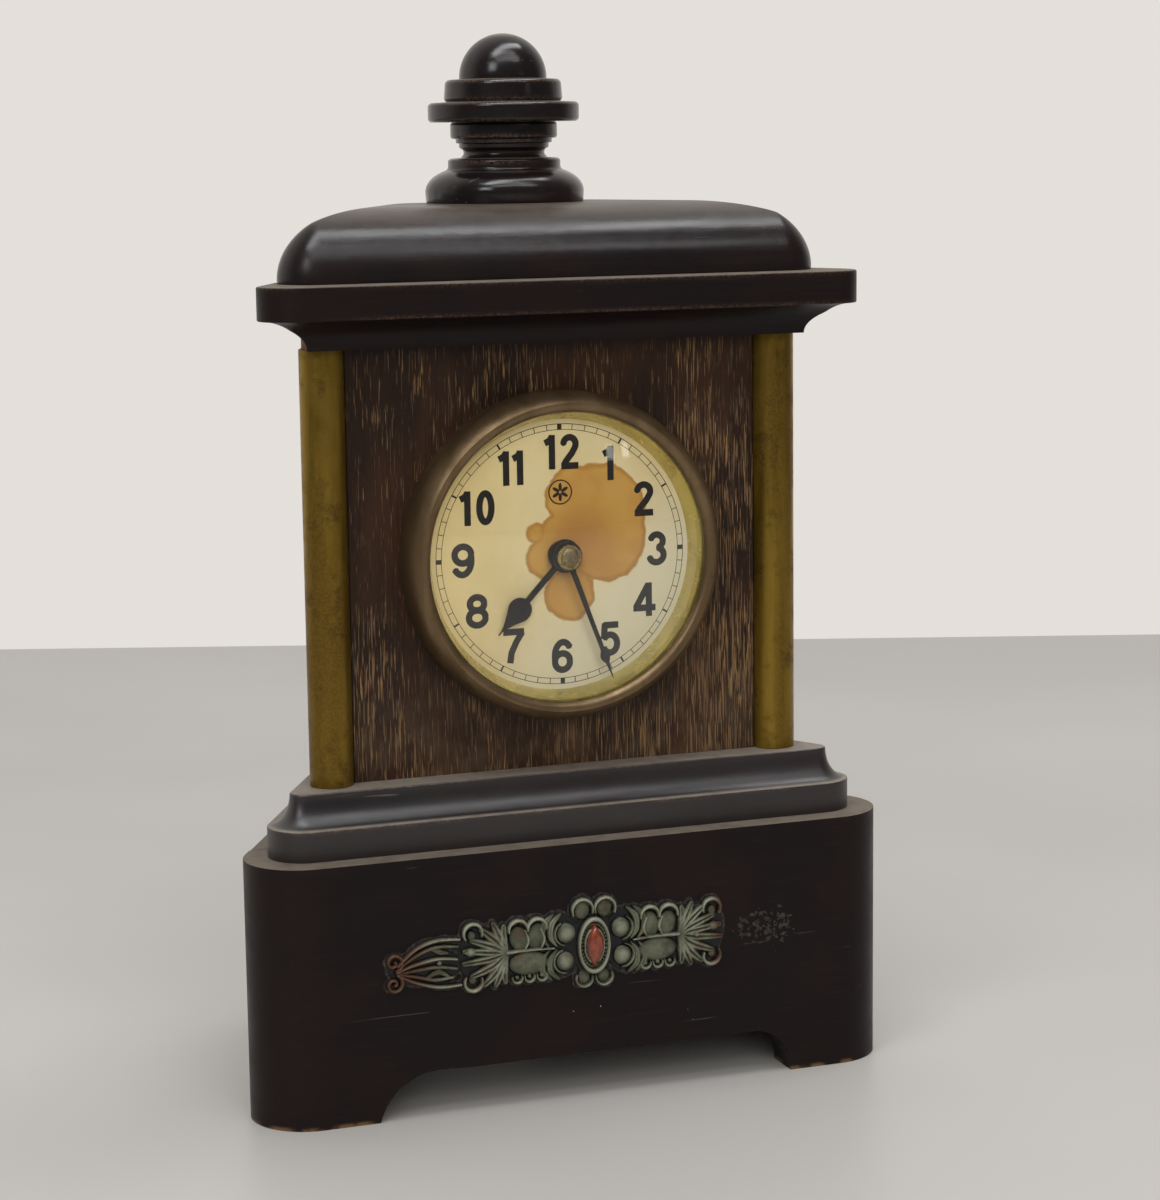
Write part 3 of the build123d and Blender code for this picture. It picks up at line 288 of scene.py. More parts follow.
def ebonised_wood(name, gloss=0.30, shine=0.40, specks=0.0, dust=0.6, dust_from=0.9, wear=0.7):
    """Black-stained, varnished wood: faint grain, brown worn edges, dust on what faces up."""
    base, other = (24, 15, 14), (18, 14, 14)
    material, graph = new_material(name)
    where = graph.place()
    along = graph.place((0.05, 1.6, 1.6))
    grain = graph.noise(along, 1.0, 4.0, 0.6)
    clouds = graph.noise(where, 0.035, 3.0)
    colour = graph.mix(graph.span(clouds, 0.35, 0.65), srgb(*base), srgb(*other))
    colour = graph.mix(graph.times(graph.span(grain, 0.5, 0.75), 0.3), colour, srgb(40, 28, 24))
    fine = graph.noise(where, 1.3, 5.0, 0.7)
    worn = graph.times(graph.attribute("edge"), graph.span(fine, 0.42, 0.6), graph.span(clouds, 0.36, 0.56))
    colour = graph.mix(graph.times(worn, wear), colour, srgb(92, 70, 52))
    height = graph.axes(where)["Z"]
    foot = graph.times(graph.span(height, 1.3, 0.2), graph.span(graph.noise(where, 0.22, 4.0), 0.4, 0.6))
    colour = graph.mix(graph.times(foot, 0.75), colour, srgb(112, 84, 56))
    slanting = graph.place((0.03, 0.6, 0.9), (0.3, 0.5, 0.2))
    scratch = graph.span(graph.noise(slanting, 1.0, 2.0, 0.5, 0.6), 0.71, 0.73)
    scratch = graph.times(scratch, graph.span(clouds, 0.5, 0.62))
    colour = graph.mix(graph.times(scratch, 0.35), colour, srgb(105, 92, 82))
    cells = graph.node("ShaderNodeTexVoronoi", {"Vector": where, "Scale": 0.30, "Randomness": 1.0})
    pick = graph.axes(cells.outputs["Color"])["X"]
    radius = graph.math("MULTIPLY", graph.math("POWER", graph.axes(cells.outputs["Color"])["Y"], 3.0), 0.11)
    dot = graph.math("LESS_THAN", cells.outputs["Distance"], radius)
    low = graph.span(height, 42.0, 22.0)
    middle = graph.span(graph.math("ABSOLUTE", graph.math("ADD", graph.axes(where)["X"], 8.0)), 46.0, 12.0)
    dots = graph.times(dot, graph.math("GREATER_THAN", pick, 0.45), low, middle, specks)
    colour = graph.mix(dots, colour, srgb(188, 178, 165))
    upward = graph.span(graph.upward(), dust_from, 0.99)
    dusty = graph.times(upward, graph.span(graph.noise(where, 0.30, 5.0, 0.65), 0.25, 0.6, 0.65, 1.0), dust)
    colour = graph.mix(dusty, colour, srgb(122, 112, 100))
    smears = graph.noise(graph.place((0.02, 0.08, 0.08)), 1.0, 4.0, 0.65)
    rough = graph.math("ADD", graph.span(smears, 0.3, 0.7, gloss, gloss + 0.13), graph.times(dusty, 0.4))
    lumps = graph.math("ADD", graph.times(graph.noise(where, 0.11, 2.0), 3.0), graph.times(grain, 0.25))
    normal = graph.bump(lumps, 0.35, 0.12)
    normal = graph.bump(graph.math("ADD", fine, graph.times(scratch, -0.8)), 0.16, 0.05, normal)
    graph.surface(Base_Color=colour, Roughness=rough, Normal=normal, Specular_IOR_Level=shine)
    return material


def streaked_panel():
    """Open-grained dark wood whose pores hold pale dust in many fine upright streaks."""
    material, graph = new_material("streaked_panel")
    where = graph.place()
    axes = graph.axes(where)
    clouds = graph.noise(graph.place((0.05, 0.05, 0.018)), 1.0, 3.0)
    colour = graph.mix(graph.span(clouds, 0.38, 0.62), srgb(30, 17, 9), srgb(47, 28, 15))
    ribbon = graph.noise(graph.place((0.5, 0.5, 0.012)), 1.0, 3.0)
    colour = graph.mix(graph.span(ribbon, 0.45, 0.7, 0.0, 0.6), colour, srgb(34, 21, 14))
    pale_zone = graph.noise(graph.place((0.055, 0.055, 0.03), (0.0, 0.3, 0.0)), 1.0, 2.0)
    corner = graph.math("ADD", graph.span(axes["X"], 5.0, 48.0, 0.0, 0.05),
                        graph.span(axes["Z"], 150.0, 88.0, 0.0, 0.05))
    pores = graph.noise(graph.place((5.2, 5.2, 0.17)), 1.0, 2.0, 0.5)
    threshold = graph.math("SUBTRACT", graph.span(pale_zone, 0.3, 0.7, 0.65, 0.565), corner)
    streaks = graph.math("MULTIPLY", graph.math("SUBTRACT", pores, threshold), 16.0)
    streaks = graph.span(streaks, 0.0, 1.0)
    tone = graph.noise(graph.place((0.8, 0.8, 0.05)), 1.0, 1.0)
    pale = graph.mix(graph.span(tone, 0.4, 0.6), srgb(122, 94, 60), srgb(98, 76, 54))
    colour = graph.mix(graph.times(streaks, graph.span(pale_zone, 0.3, 0.62, 0.45, 0.95)), colour, pale)
    dark = graph.span(graph.noise(graph.place((2.6, 2.6, 0.09)), 1.0, 2.0), 0.60, 0.66)
    colour = graph.mix(graph.times(dark, 0.6), colour, srgb(24, 15, 10))
    haze = graph.span(graph.noise(where, 0.12, 4.0), 0.35, 0.7)
    haze = graph.times(graph.span(axes["Z"], 112.0, 78.0), haze, 0.25)
    colour = graph.mix(haze, colour, srgb(92, 76, 58))
    relief = graph.math("SUBTRACT", pores, graph.times(dark, 0.5))
    graph.surface(Base_Color=colour, Roughness=graph.span(pores, 0.4, 0.7, 0.5, 0.72),
                  Normal=graph.bump(relief, 0.5, 0.12), Specular_IOR_Level=0.3)
    return material


def inner_wood():
    """Plain pale softwood of the hidden parts, with growth lines."""
    material, graph = new_material("softwood")
    where = graph.place((0.03, 0.5, 0.5))
    rings = graph.noise(where, 1.0, 3.0, 0.6, 0.4)
    stripes = graph.math("FRACT", graph.math("MULTIPLY", rings, 9.0))
    colour = graph.mix(stripes, srgb(168, 128, 84), srgb(136, 98, 60))
    stain = graph.noise(graph.place(), 0.06, 4.0)
    colour = graph.mix(graph.span(stain, 0.45, 0.7, 0.0, 0.6), colour, srgb(92, 68, 46))
    graph.surface(Base_Color=colour, Roughness=0.75, Normal=graph.bump(stripes, 0.25, 0.1),
                  Specular_IOR_Level=0.25)
    return material


def aged_brass(name, light, dark, spots, rough=(0.3, 0.5), metal=0.8, blotches=0.75):
    """Tarnished brass: streaky dull patches, brown spots, cloudy gloss."""
    stretch = (0.12, 0.12, 0.012)
    material, graph = new_material(name)
    where = graph.place()
    streaks = graph.noise(graph.place(stretch), 1.0, 5.0, 0.6, 0.5)
    colour = graph.mix(graph.span(streaks, 0.35, 0.65), srgb(*light), srgb(*dark))
    patches = graph.noise(where, 0.16, 6.0, 0.65)
    colour = graph.mix(graph.span(patches, 0.52, 0.68, 0.0, blotches), colour, srgb(*spots))
    fine = graph.noise(where, 1.6, 4.0, 0.7)
    colour = graph.mix(graph.span(fine, 0.55, 0.75, 0.0, 0.5), colour, srgb(*spots))
    rub = graph.times(graph.attribute("edge"), graph.span(fine, 0.4, 0.6), 0.5)
    colour = graph.mix(rub, colour, srgb(*light))
    roughness = graph.span(patches, 0.35, 0.65, rough[0], rough[1])
    normal = graph.bump(graph.math("ADD", graph.times(patches, 2.0), fine), 0.2, 0.05)
    graph.surface(Base_Color=colour, Metallic=metal, Roughness=roughness, Normal=normal)
    return material


def bright_metal(name, light, dark, rough=0.28):
    """Machined movement metal: fine turning lines, a little tarnish."""
    material, graph = new_material(name)
    where = graph.place()
    lines = graph.noise(graph.place((1.0, 9.0, 1.0)), 1.0, 2.0)
    cloud = graph.noise(where, 0.25, 5.0, 0.6)
    colour = graph.mix(graph.span(cloud, 0.4, 0.68), srgb(*light), srgb(*dark))
    roughness = graph.span(graph.math("ADD", lines, cloud), 0.7, 1.3, rough - 0.06, rough + 0.16)
    graph.surface(Base_Color=colour, Metallic=1.0, Roughness=roughness, Normal=graph.bump(lines, 0.1, 0.03))
    return material


def glass_material():
    """Clear crystal: a thin pane that lets light straight through and keeps its reflections."""
    material, graph = new_material("dial_crystal")
    fresnel = graph.node("ShaderNodeFresnel", {"IOR": 1.5})
    share = graph.math("MULTIPLY", fresnel.outputs["Fac"], 0.9)
    clear = graph.node("ShaderNodeBsdfTransparent", {"Color": (0.97, 0.97, 0.95)})
    shine = graph.node("ShaderNodeBsdfGlossy", {"Color": (1, 1, 1), "Roughness": 0.03})
    both = graph.node("ShaderNodeMixShader")
    graph.feed(both.inputs[0], share)
    graph.feed(both.inputs[1], clear.outputs["BSDF"])
    graph.feed(both.inputs[2], shine.outputs["BSDF"])
    graph.node("ShaderNodeOutputMaterial", {"Surface": both.outputs["Shader"]})
    return material


def dial_paper():
    """Cream paper, yellowed at the left, with a brown water stain of several lobes and its tide line."""
    material, graph = new_material("dial_paper")
    source = graph.node("ShaderNodeTexCoord").outputs["Object"]
    mapping = graph.node("ShaderNodeMapping", {
        "Vector": source, "Location": (0, 0, -dial_z), "Scale": (1 / MM, 1 / MM, 1 / MM)})
    where = mapping.outputs["Vector"]
    axes = graph.axes(where)
    wobble = graph.noise(where, 0.16, 4.0, 0.6)
    shake = graph.math("MULTIPLY", graph.math("SUBTRACT", wobble, 0.5), 3.2)
    lobes = ((9.6, 9.2, 12.2), (11.4, 3.4, 10.6), (3.2, 14.0, 7.3), (-3.5, -0.8, 5.6), (-6.3, 5.4, 2.6),
             (2.2, -9.6, 6.6), (2.5, 3.0, 8.4))
    stain = None
    for x, z, radius in lobes:
        across = graph.math("POWER", graph.math("SUBTRACT", axes["X"], x), 2.0)
        upward = graph.math("POWER", graph.math("SUBTRACT", axes["Z"], z), 2.0)
        depth = graph.math("SUBTRACT", radius, graph.math("SQRT", graph.math("ADD", across, upward)))
        stain = depth if stain is None else graph.math("MAXIMUM", stain, depth)
    stain = graph.math("ADD", stain, shake)
    patches = graph.noise(where, 0.07, 4.0)
    paper = graph.mix(graph.span(patches, 0.35, 0.65), srgb(246, 231, 188), srgb(236, 219, 172))
    left = graph.span(axes["X"], 8.0, -32.0)
    paper = graph.mix(graph.times(left, 0.6), paper, srgb(236, 212, 150))
    right = graph.span(graph.math("SUBTRACT", axes["X"], axes["Z"]), 0.0, 34.0)
    paper = graph.mix(graph.times(right, 0.85), paper, srgb(246, 240, 216))
    freckles = graph.span(graph.noise(where, 0.9, 4.0, 0.7), 0.66, 0.74)
    paper = graph.mix(graph.times(freckles, 0.25), paper, srgb(176, 146, 92))
    inside = graph.span(stain, -0.15, 0.35)
    tide = graph.times(graph.span(stain, -0.3, 0.2), graph.span(stain, 1.4, 0.4))
    cloud = graph.span(graph.noise(where, 0.10, 4.0), 0.35, 0.65)
    brown = graph.mix(cloud, srgb(214, 164, 76), srgb(204, 150, 66))
    rust = graph.times(graph.span(axes["X"], -6.0, 5.0), graph.span(axes["X"], 17.0, 4.0))
    rust = graph.times(rust, graph.span(axes["Z"], 14.0, 4.0), graph.span(axes["Z"], -12.0, 0.0))
    brown = graph.mix(graph.times(rust, 0.6), brown, srgb(176, 112, 56))
    colour = graph.mix(graph.times(inside, 0.93), paper, brown)
    colour = graph.mix(graph.times(tide, 0.55), colour, srgb(176, 120, 52))
    fibres = graph.noise(where, 3.0, 3.0, 0.6)
    graph.surface(Base_Color=colour, Roughness=0.62, Normal=graph.bump(fibres, 0.12, 0.03),
                  Specular_IOR_Level=0.3)
    return material


def printed_black():
    """Printing ink, slightly uneven."""
    material, graph = new_material("dial_ink")
    fine = graph.noise(graph.place(), 1.8, 3.0)
    colour = graph.mix(graph.span(fine, 0.4, 0.7), srgb(20, 18, 17), srgb(38, 33, 28))
    graph.surface(Base_Color=colour, Roughness=graph.span(fine, 0.4, 0.7, 0.4, 0.6))
    return material


def dark_steel():
    """Blackened steel of the hands, with a brown bloom of rust."""
    material, graph = new_material("blackened_steel")
    where = graph.place()
    rust = graph.span(graph.noise(where, 0.5, 5.0, 0.7), 0.58, 0.72)
    colour = graph.mix(graph.times(rust, 0.55), srgb(24, 22, 22), srgb(74, 50, 34))
    graph.surface(Base_Color=colour, Metallic=0.6, Roughness=graph.math("ADD", graph.times(rust, 0.3), 0.34),
                  Normal=graph.bump(graph.noise(where, 2.0, 3.0), 0.15, 0.03))
    return material


def verdigris_metal():
    """Pressed metal gone green-grey with rust-brown patches; colour follows relief height: painted highlight
    pale on raised work, painted shade blue-black in the hollows.
    """
    material, graph = new_material("verdigris_mount_painted_relief_light")
    where = graph.place()
    axes = graph.axes(where)
    height = graph.attribute("height")
    # noise that makes the edges of the height bands (painted shade, green, painted highlight) ragged
    band_noise = graph.math("SUBTRACT", graph.noise(where, 1.1, 4.0, 0.7), 0.5)
    ragged = graph.math("ADD", height, graph.times(band_noise, 0.35))
    # painted shade: the lowest relief, the hollows and the backing, is coloured blue-black
    hollow = srgb(17, 19, 20)
    cloud = graph.span(graph.noise(where, 0.28, 4.0), 0.4, 0.62)
    green = graph.mix(cloud, srgb(66, 70, 54), srgb(88, 90, 72))
    colour = graph.mix(graph.span(ragged, 0.6, 1.35), hollow, green)
    # painted highlight: the highest relief is coloured pale
    colour = graph.mix(graph.span(ragged, 1.35, 1.85, 0.0, 0.8), colour, srgb(136, 136, 118))
    patches = graph.span(graph.noise(where, 0.13, 4.0, 0.6), 0.53, 0.62)
    left = graph.math("MAXIMUM", graph.span(axes["X"], -34.0, -47.0), graph.span(axes["X"], 29.0, 34.0))
    brown = graph.math("MAXIMUM", graph.times(patches, 0.4), graph.times(left, 0.9))
    colour = graph.mix(graph.times(brown, graph.span(ragged, 0.4, 1.2)), colour, srgb(72, 40, 25))
    grit = graph.noise(where, 2.6, 4.0, 0.7)
    graph.surface(Base_Color=colour, Metallic=0.25, Roughness=graph.span(ragged, 0.4, 1.7, 0.4, 0.62),
                  Normal=graph.bump(grit, 0.4, 0.08))
    return material


def cabochon_stone():
    """Orange-red glass stone with darker veins, painted shade on its left side and a soft gloss."""
    material, graph = new_material("cabochon_stone")
    where = graph.place()
    veins = graph.noise(graph.place((0.9, 0.9, 0.35)), 1.0, 5.0, 0.65, 1.2)
    colour = graph.mix(graph.span(veins, 0.38, 0.6), srgb(86, 34, 20), srgb(128, 56, 30))
    # painted shade: the stone's left side is darkened towards srgb(66, 40, 34)
    left = graph.span(graph.axes(where)["X"], 0.4, -1.4)
    colour = graph.mix(graph.times(left, 0.8), colour, srgb(66, 40, 34))
    graph.surface(Base_Color=colour, Roughness=0.24, Coat_Weight=0.4, Coat_Roughness=0.1,
                  Normal=graph.bump(veins, 0.12, 0.08))
    return material


def glue_film():
    """Dull grey-brown film of old glue and dust."""
    material, graph = new_material("old_glue")
    where = graph.place()
    flecks = graph.noise(where, 0.9, 5.0, 0.7)
    colour = graph.mix(graph.span(flecks, 0.42, 0.66), srgb(26, 21, 20), srgb(58, 53, 46))
    graph.surface(Base_Color=colour, Roughness=0.7, Normal=graph.bump(flecks, 0.4, 0.1))
    return material


# ================================================================ mesh helpers
def new_piece(name, vertices, faces, material, body, replaces=(), smooth=math.radians(32)):
    """A closed mesh in millimetres turned into a piece of the clock."""
    mesh = bpy.data.meshes.new(name)
    mesh.from_pydata([tuple(value * MM for value in point) for point in vertices], [], faces)
    mesh.validate()
    piece = bpy.data.objects.new(name, mesh)
    bpy.context.scene.collection.objects.link(piece)
    outward(mesh)
    mesh.shade_smooth()
    mesh.set_sharp_from_angle(angle=smooth)
    mesh.materials.append(material)
    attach(piece, body)
    if replaces:
        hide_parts(*replaces)
    return piece


def even_shading(piece):
    """Lets the large flat faces set the normals along their eased edges."""
    modifier = piece.modifiers.new("even_shading", "WEIGHTED_NORMAL")
    modifier.mode = "FACE_AREA"
    modifier.weight = 80
    modifier.keep_sharp = True


def outward(mesh):
    work = bmesh.new()
    work.from_mesh(mesh)
    bmesh.ops.recalc_face_normals(work, faces=work.faces)
    work.to_mesh(mesh)
    work.free()


def set_attribute(mesh, name, values):
    """Float value for each vertex."""
    layer = mesh.attributes.new(name, "FLOAT", "POINT")
    layer.data.foreach_set("value", np.asarray(values, np.float32))


def lathe(profile, segments, place):
    """A closed ring of (radius, along) points turned about an axis by place(radius, along, angle).

    Points with radius 0 at both ends close the shape on the axis.
    """
    vertices = []
    faces = []
    rings = []
    for radius, along in profile:
        if radius < 1e-6:
            rings.append([len(vertices)])
            vertices.append(place(0.0, along, 0.0))
            continue
        start = len(vertices)
        for index in range(segments):
            vertices.append(place(radius, along, 2 * math.pi * index / segments))
        rings.append(list(range(start, start + segments)))
    open_profile = len(rings[0]) == 1 and len(rings[-1]) == 1
    pairs = list(zip(rings, rings[1:]))
    if not open_profile:
        pairs.append((rings[-1], rings[0]))
    for low, high in pairs:
        for index in range(segments):
            after = (index + 1) % segments
            if len(low) == 1:
                faces.append((low[0], high[index], high[after]))
            elif len(high) == 1:
                faces.append((low[index], high[0], low[after]))
            else:
                faces.append((low[index], low[after], high[after], high[index]))
    return vertices, faces


def about_dial(radius, depth, angle):
    return (radius * math.cos(angle), deep(depth), dial_z + radius * math.sin(angle))


def arc(centre, radii, start, end, steps):
    """Points of an elliptical arc, angles in degrees."""
    points = []
    for index in range(steps + 1):
        turn = math.radians(start + (end - start) * index / steps)
        points.append((centre[0] + radii[0] * math.cos(turn), centre[1] + radii[1] * math.sin(turn)))
    return points


def rounded(points, radius, steps=3, closed=True):
    """The outline with each corner replaced by a small arc that touches both its edges."""
    made = []
    count = len(points)
    for index, corner in enumerate(points):
        here = Vector(corner)
        if not closed and index in (0, count - 1):
            made.append(tuple(here))
            continue
        before = Vector(points[index - 1]) - here
        after = Vector(points[(index + 1) % count]) - here
        reach = min(radius, before.length * 0.45, after.length * 0.45)
        turn = before.angle(after)
        if turn > math.radians(160) or reach < 1e-4:
            made.append(tuple(here))
            continue
        start = here + before.normalized() * reach
        end = here + after.normalized() * reach
        for step in range(steps + 1):
            share = step / steps
            made.append(tuple(start * (1 - share) ** 2 + here * 2 * share * (1 - share) + end * share ** 2))
    return made


def eased(node, width, material, turned_edges=30.0, wear=1.0):
    """A copy of a CAD node with its sharp edges rounded, which is what a finished edge looks like."""
    source = nodes[node]
    mesh = bpy.data.meshes.new(node + "_eased")
    work = bmesh.new()
    work.from_mesh(source.data)
    bmesh.ops.remove_doubles(work, verts=work.verts, dist=1e-6)
    bmesh.ops.dissolve_limit(work, angle_limit=math.radians(0.4), verts=work.verts, edges=work.edges,
                             use_dissolve_boundaries=False)
    limit = math.radians(turned_edges)
    sharp = [e for e in work.edges if len(e.link_faces) == 2 and e.calc_face_angle(0) > limit]
    before = set(work.faces)
    made = bmesh.ops.bevel(work, geom=sharp, offset=width * MM, segments=2, profile=0.5, affect="EDGES",
                           clamp_overlap=True)
    edge = work.faces.layers.float.new("edge")
    for face in made["faces"]:
        if face.is_valid and face not in before:
            face[edge] = wear
    bmesh.ops.recalc_face_normals(work, faces=work.faces)
    work.to_mesh(mesh)
    work.free()
    mesh.shade_smooth()
    mesh.set_sharp_from_angle(angle=math.radians(50))
    mesh.materials.append(material)
    piece = bpy.data.objects.new(node + "_eased", mesh)
    bpy.context.scene.collection.objects.link(piece)
    even_shading(piece)
    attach(piece, source["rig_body"])
    slot_of(node)
    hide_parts(node)
    return piece


def slot_of(node):
    """The material slot that the record gives a node."""
    return original_slots[node]


# ================================================================ wooden mouldings
def tier_outline(half_width, inset, back, corner, inwards, steps=14, run=40):
    """Plan points of a tier, moved inwards from its edge: left back, round the front, to the right back."""
    cosine, sine = math.cos(side_slant), math.sin(side_slant)
    sharp = half_width - corner + corner * (1 + sine) / cosine
    front = inset + inwards
    radius = max(corner - inwards, 0.5)
    side = sharp - inwards * (1 + sine) / cosine - radius * (1 + sine) / cosine + radius
    centre_x = side - radius
    centre_depth = front + radius
    reach = math.degrees(side_slant)
    right = []
    for index in range(run):
        share = index / run
        right.append((centre_x * share, front))
    for index in range(steps + 1):
        turn = math.radians(-90 + (90 + reach) * index / steps)
        right.append((centre_x + radius * math.cos(turn), centre_depth + radius * math.sin(turn)))
    last_x, last_depth = right[-1]
    side_run = 24
    for index in range(1, side_run + 1):
        depth = last_depth + (back - last_depth) * index / side_run
        right.append((last_x - (depth - last_depth) * math.tan(side_slant), depth))
    left = [(-x, depth) for x, depth in reversed(right[1:])]
    return left + right


def split_long(profile, reach=0.8):
    """Adds a point near each end of every long straight run, so that edge wear stays by its edge."""
    made = [profile[0]]
    for start, end in zip(profile, profile[1:]):
        length = math.dist(start, end)
        if length > 2.5 * reach:
            for share in (reach / length, 1 - reach / length):
                made.append(tuple(a + (b - a) * share for a, b in zip(start, end)))
        made.append(end)
    return made


def moulding(name, node, plan_of, profile, material, wear_at=(), closed=False, bumpy=0.0, seed=0.0):
    """Sweeps a profile of (inwards, z) points round a tier: plan_of(inwards) gives each level's plan."""
    profile = split_long(profile)
    levels = [plan_of(inwards) for inwards, z in profile]
    count = len(levels[0])
    vertices = []
    edge = []
    for (inwards, z), level in zip(profile, levels):
        near = min((math.hypot(inwards - i, z - h) for i, h in wear_at), default=9.0)
        for x, depth in level:
            here = Vector((x * 0.05, depth * 0.05, z * 0.11 + seed))
            push = bumpy * perlin(here)
            vertices.append((x * (1 + push / 80), deep(depth), z))
            edge.append(max(0.0, 1.0 - near / 0.7))
    faces = []
    for k in range(len(profile) - 1):
        for index in range(count if closed else count - 1):
            after = (index + 1) % count
            low, high = k * count, (k + 1) * count
            faces.append((low + index, low + after, high + after, high + index))
        if not closed:
            low, high = k * count, (k + 1) * count
            faces.append((low + count - 1, low, high, high + count - 1))
    faces.append(tuple(range(count)))
    faces.append(tuple(range((len(profile) - 1) * count, len(profile) * count)))
    piece = new_piece(name, vertices, faces, material, "case", (node,))
    set_attribute(piece.data, "edge", edge)
    even_shading(piece)
    return piece


def quarter(steps):
    return [math.pi / 2 * index / steps for index in range(steps + 1)]


def make_step(material):
    """Step moulding: upright fascia, cove, flat ledge."""
    half_width, inset, back, bottom, top = tier_extent("step_moulding")
    fascia, reach, corner = bottom + 7.2, 5.5, 8.8
    rise = top - fascia
    cove = [(reach * math.sin(t), fascia + rise * (1 - math.cos(t))) for t in quarter(16)]
    profile = rounded([(0.0, bottom), (0.0, fascia)] + cove[1:], 0.5, closed=False)
    profile = profile[:-1] + rounded([cove[-3], (reach, top), (reach + 4, top)], 0.5, closed=False)[1:]

    def plan(inwards):
        return tier_outline(half_width, inset, back, corner, inwards)

    moulding("step_wood", "step_moulding", plan, profile, material, wear_at=((0.0, fascia), (reach, top)),
             bumpy=0.10, seed=3.0)


def make_cornice(material):
    """Cornice: cove below, upright fascia above."""
    half_width, inset, back, bottom, top = tier_extent("cornice")
    fascia, reach, corner = bottom + 7.3, 10.2, 8.0
    rise = fascia - bottom
    cove = [(reach * math.sin(t), fascia - rise * (1 - math.cos(t))) for t in reversed(quarter(18))]
    profile = [(reach + 3, bottom)] + cove[:-1]
    profile += rounded([cove[-2], (0.0, fascia), (0.0, top), (4.0, top)], 0.5, closed=False)[1:]

    def plan(inwards):
        return tier_outline(half_width, inset, back, corner, inwards)

    moulding("cornice_wood", "cornice", plan, profile, material, wear_at=((0.0, fascia), (0.0, top)),
             bumpy=0.12, seed=8.0)


def cap_outline(inwards):
    """The domed cap's plan: front as a tier, back corners rounded as well."""
    half_width, inset, back = tier_extent("dome_cap")[:3]
    corner = 9.0
    outline = tier_outline(half_width, inset, back - inwards, corner, inwards, steps=16)
    radius = max(corner - inwards, 2.5)
    keep = []
    for x, depth in outline:
        over = depth - (back - inwards - radius)
        if over > 0:
            share = min(over / radius, 1.0)
            x = x - math.copysign(radius * (1 - math.sqrt(max(1 - share * share, 0.0))), x)
        keep.append((x, depth))
    return keep


def make_cap(material):
    """Domed cap: a short upright rim and an elliptical shoulder on all four edges."""
    bottom, top = extent("dome_cap")[2]
    reach, rim = 20.0, 0.8
    rise = top - bottom - rim
    shoulder = [(reach * (1 - math.cos(t)), bottom + rim + rise * math.sin(t)) for t in quarter(30)]
    profile = [(0.35, bottom), (0.1, bottom + 0.2)] + shoulder + [(reach + 3, top)]
    moulding("cap_wood", "dome_cap", cap_outline, profile, material, closed=True, bumpy=0.16, seed=15.0)


def make_finial(material):
    """Turned finial with eased edges, small chips and dust-worn rims."""
    base = extent("dome_cap")[2][1]
    dome = 10.7
    edges = [(19.3, 0.0), (19.5, 2.6)] + arc((9.6, 2.6), (9.9, 5.9), 0, 62, 10)[1:]
    edges += [(13.8, 8.4), (13.8, 10.2)]
    edges += [(13.2, 10.6), (10.6, 10.8)] + arc((11.4, 12.0), (1.5, 1.2), 225, 135, 5)
    edges += [(11.0, 13.2), (11.0, 14.3), (11.8, 14.3), (11.8, 15.4), (12.8, 15.4), (13.1, 15.9)]
    edges += [(13.1, 18.9), (12.6, 19.4), (17.9, 19.4), (18.5, 20.0), (18.5, 23.5), (17.9, 24.1)]
    edges += [(13.9, 24.3), (14.5, 24.9)]
    edges += [(14.2, 28.9), (13.6, 29.6), (dome, 29.8)]
    profile = rounded([(0.0, 0.0)] + edges, 0.35, closed=False)
    profile += arc((0.0, 30.0), (dome, dome), 0, 90, 20)[:-1] + [(0.0, 30.0 + dome)]
    middle = deep(sum(extent("finial")[1]) / 2)

    def about_axis(radius, height, angle):
        x, y = radius * math.cos(angle), radius * math.sin(angle)
        chip = perlin(Vector((x * 0.45, y * 0.45, height * 0.6)))
        worn = 0.35 * max(0.0, chip - 0.45) if radius > 12 else 0.0
        scale = 1 - worn / max(radius, 1.0)
        return (x * scale, middle + y * scale, base + height)

    vertices, faces = lathe(split_long(profile), 160, about_axis)
    piece = new_piece("finial_turned", vertices, faces, material, "case", ("finial",))
    rims = ((18.2, 24.0), (18.2, 19.7), (14.3, 24.8), (14.0, 29.2), (13.8, 9.9), (13.0, 16.0), (11.8, 15.0))
    wear = []
    for x, y, z in vertices:
        radius = math.hypot(x, y - middle)
        near = min(math.hypot(radius - r, z - base - h) for r, h in rims)
        wear.append(max(0.0, 1.0 - near / 0.7))
    set_attribute(piece.data, "edge", wear)
    even_shading(piece)


def make_columns(material):
    """Brass tubes with burred, slightly rolled ends."""
    for name in ("column_left", "column_right"):
        (left, right), (front, _), (bottom, top) = extent(name)
        radius = (right - left) / 2
        bore = radius - 0.7
        profile = rounded([(radius, bottom), (radius, top), (bore, top), (bore, bottom)], 0.25)

        def about_column(r, z, angle):
            return (left + radius + r * math.cos(angle), deep(front + radius) + r * math.sin(angle), z)

        vertices, faces = lathe(profile, 96, about_column)
        piece = new_piece(name + "_tube", vertices, faces, material, "case", (name,))
        ends = [max(0.0, 1.0 - min(abs(z - bottom), abs(z - top)) / 0.6) for x, y, z in vertices]
        set_attribute(piece.data, "edge", ends)


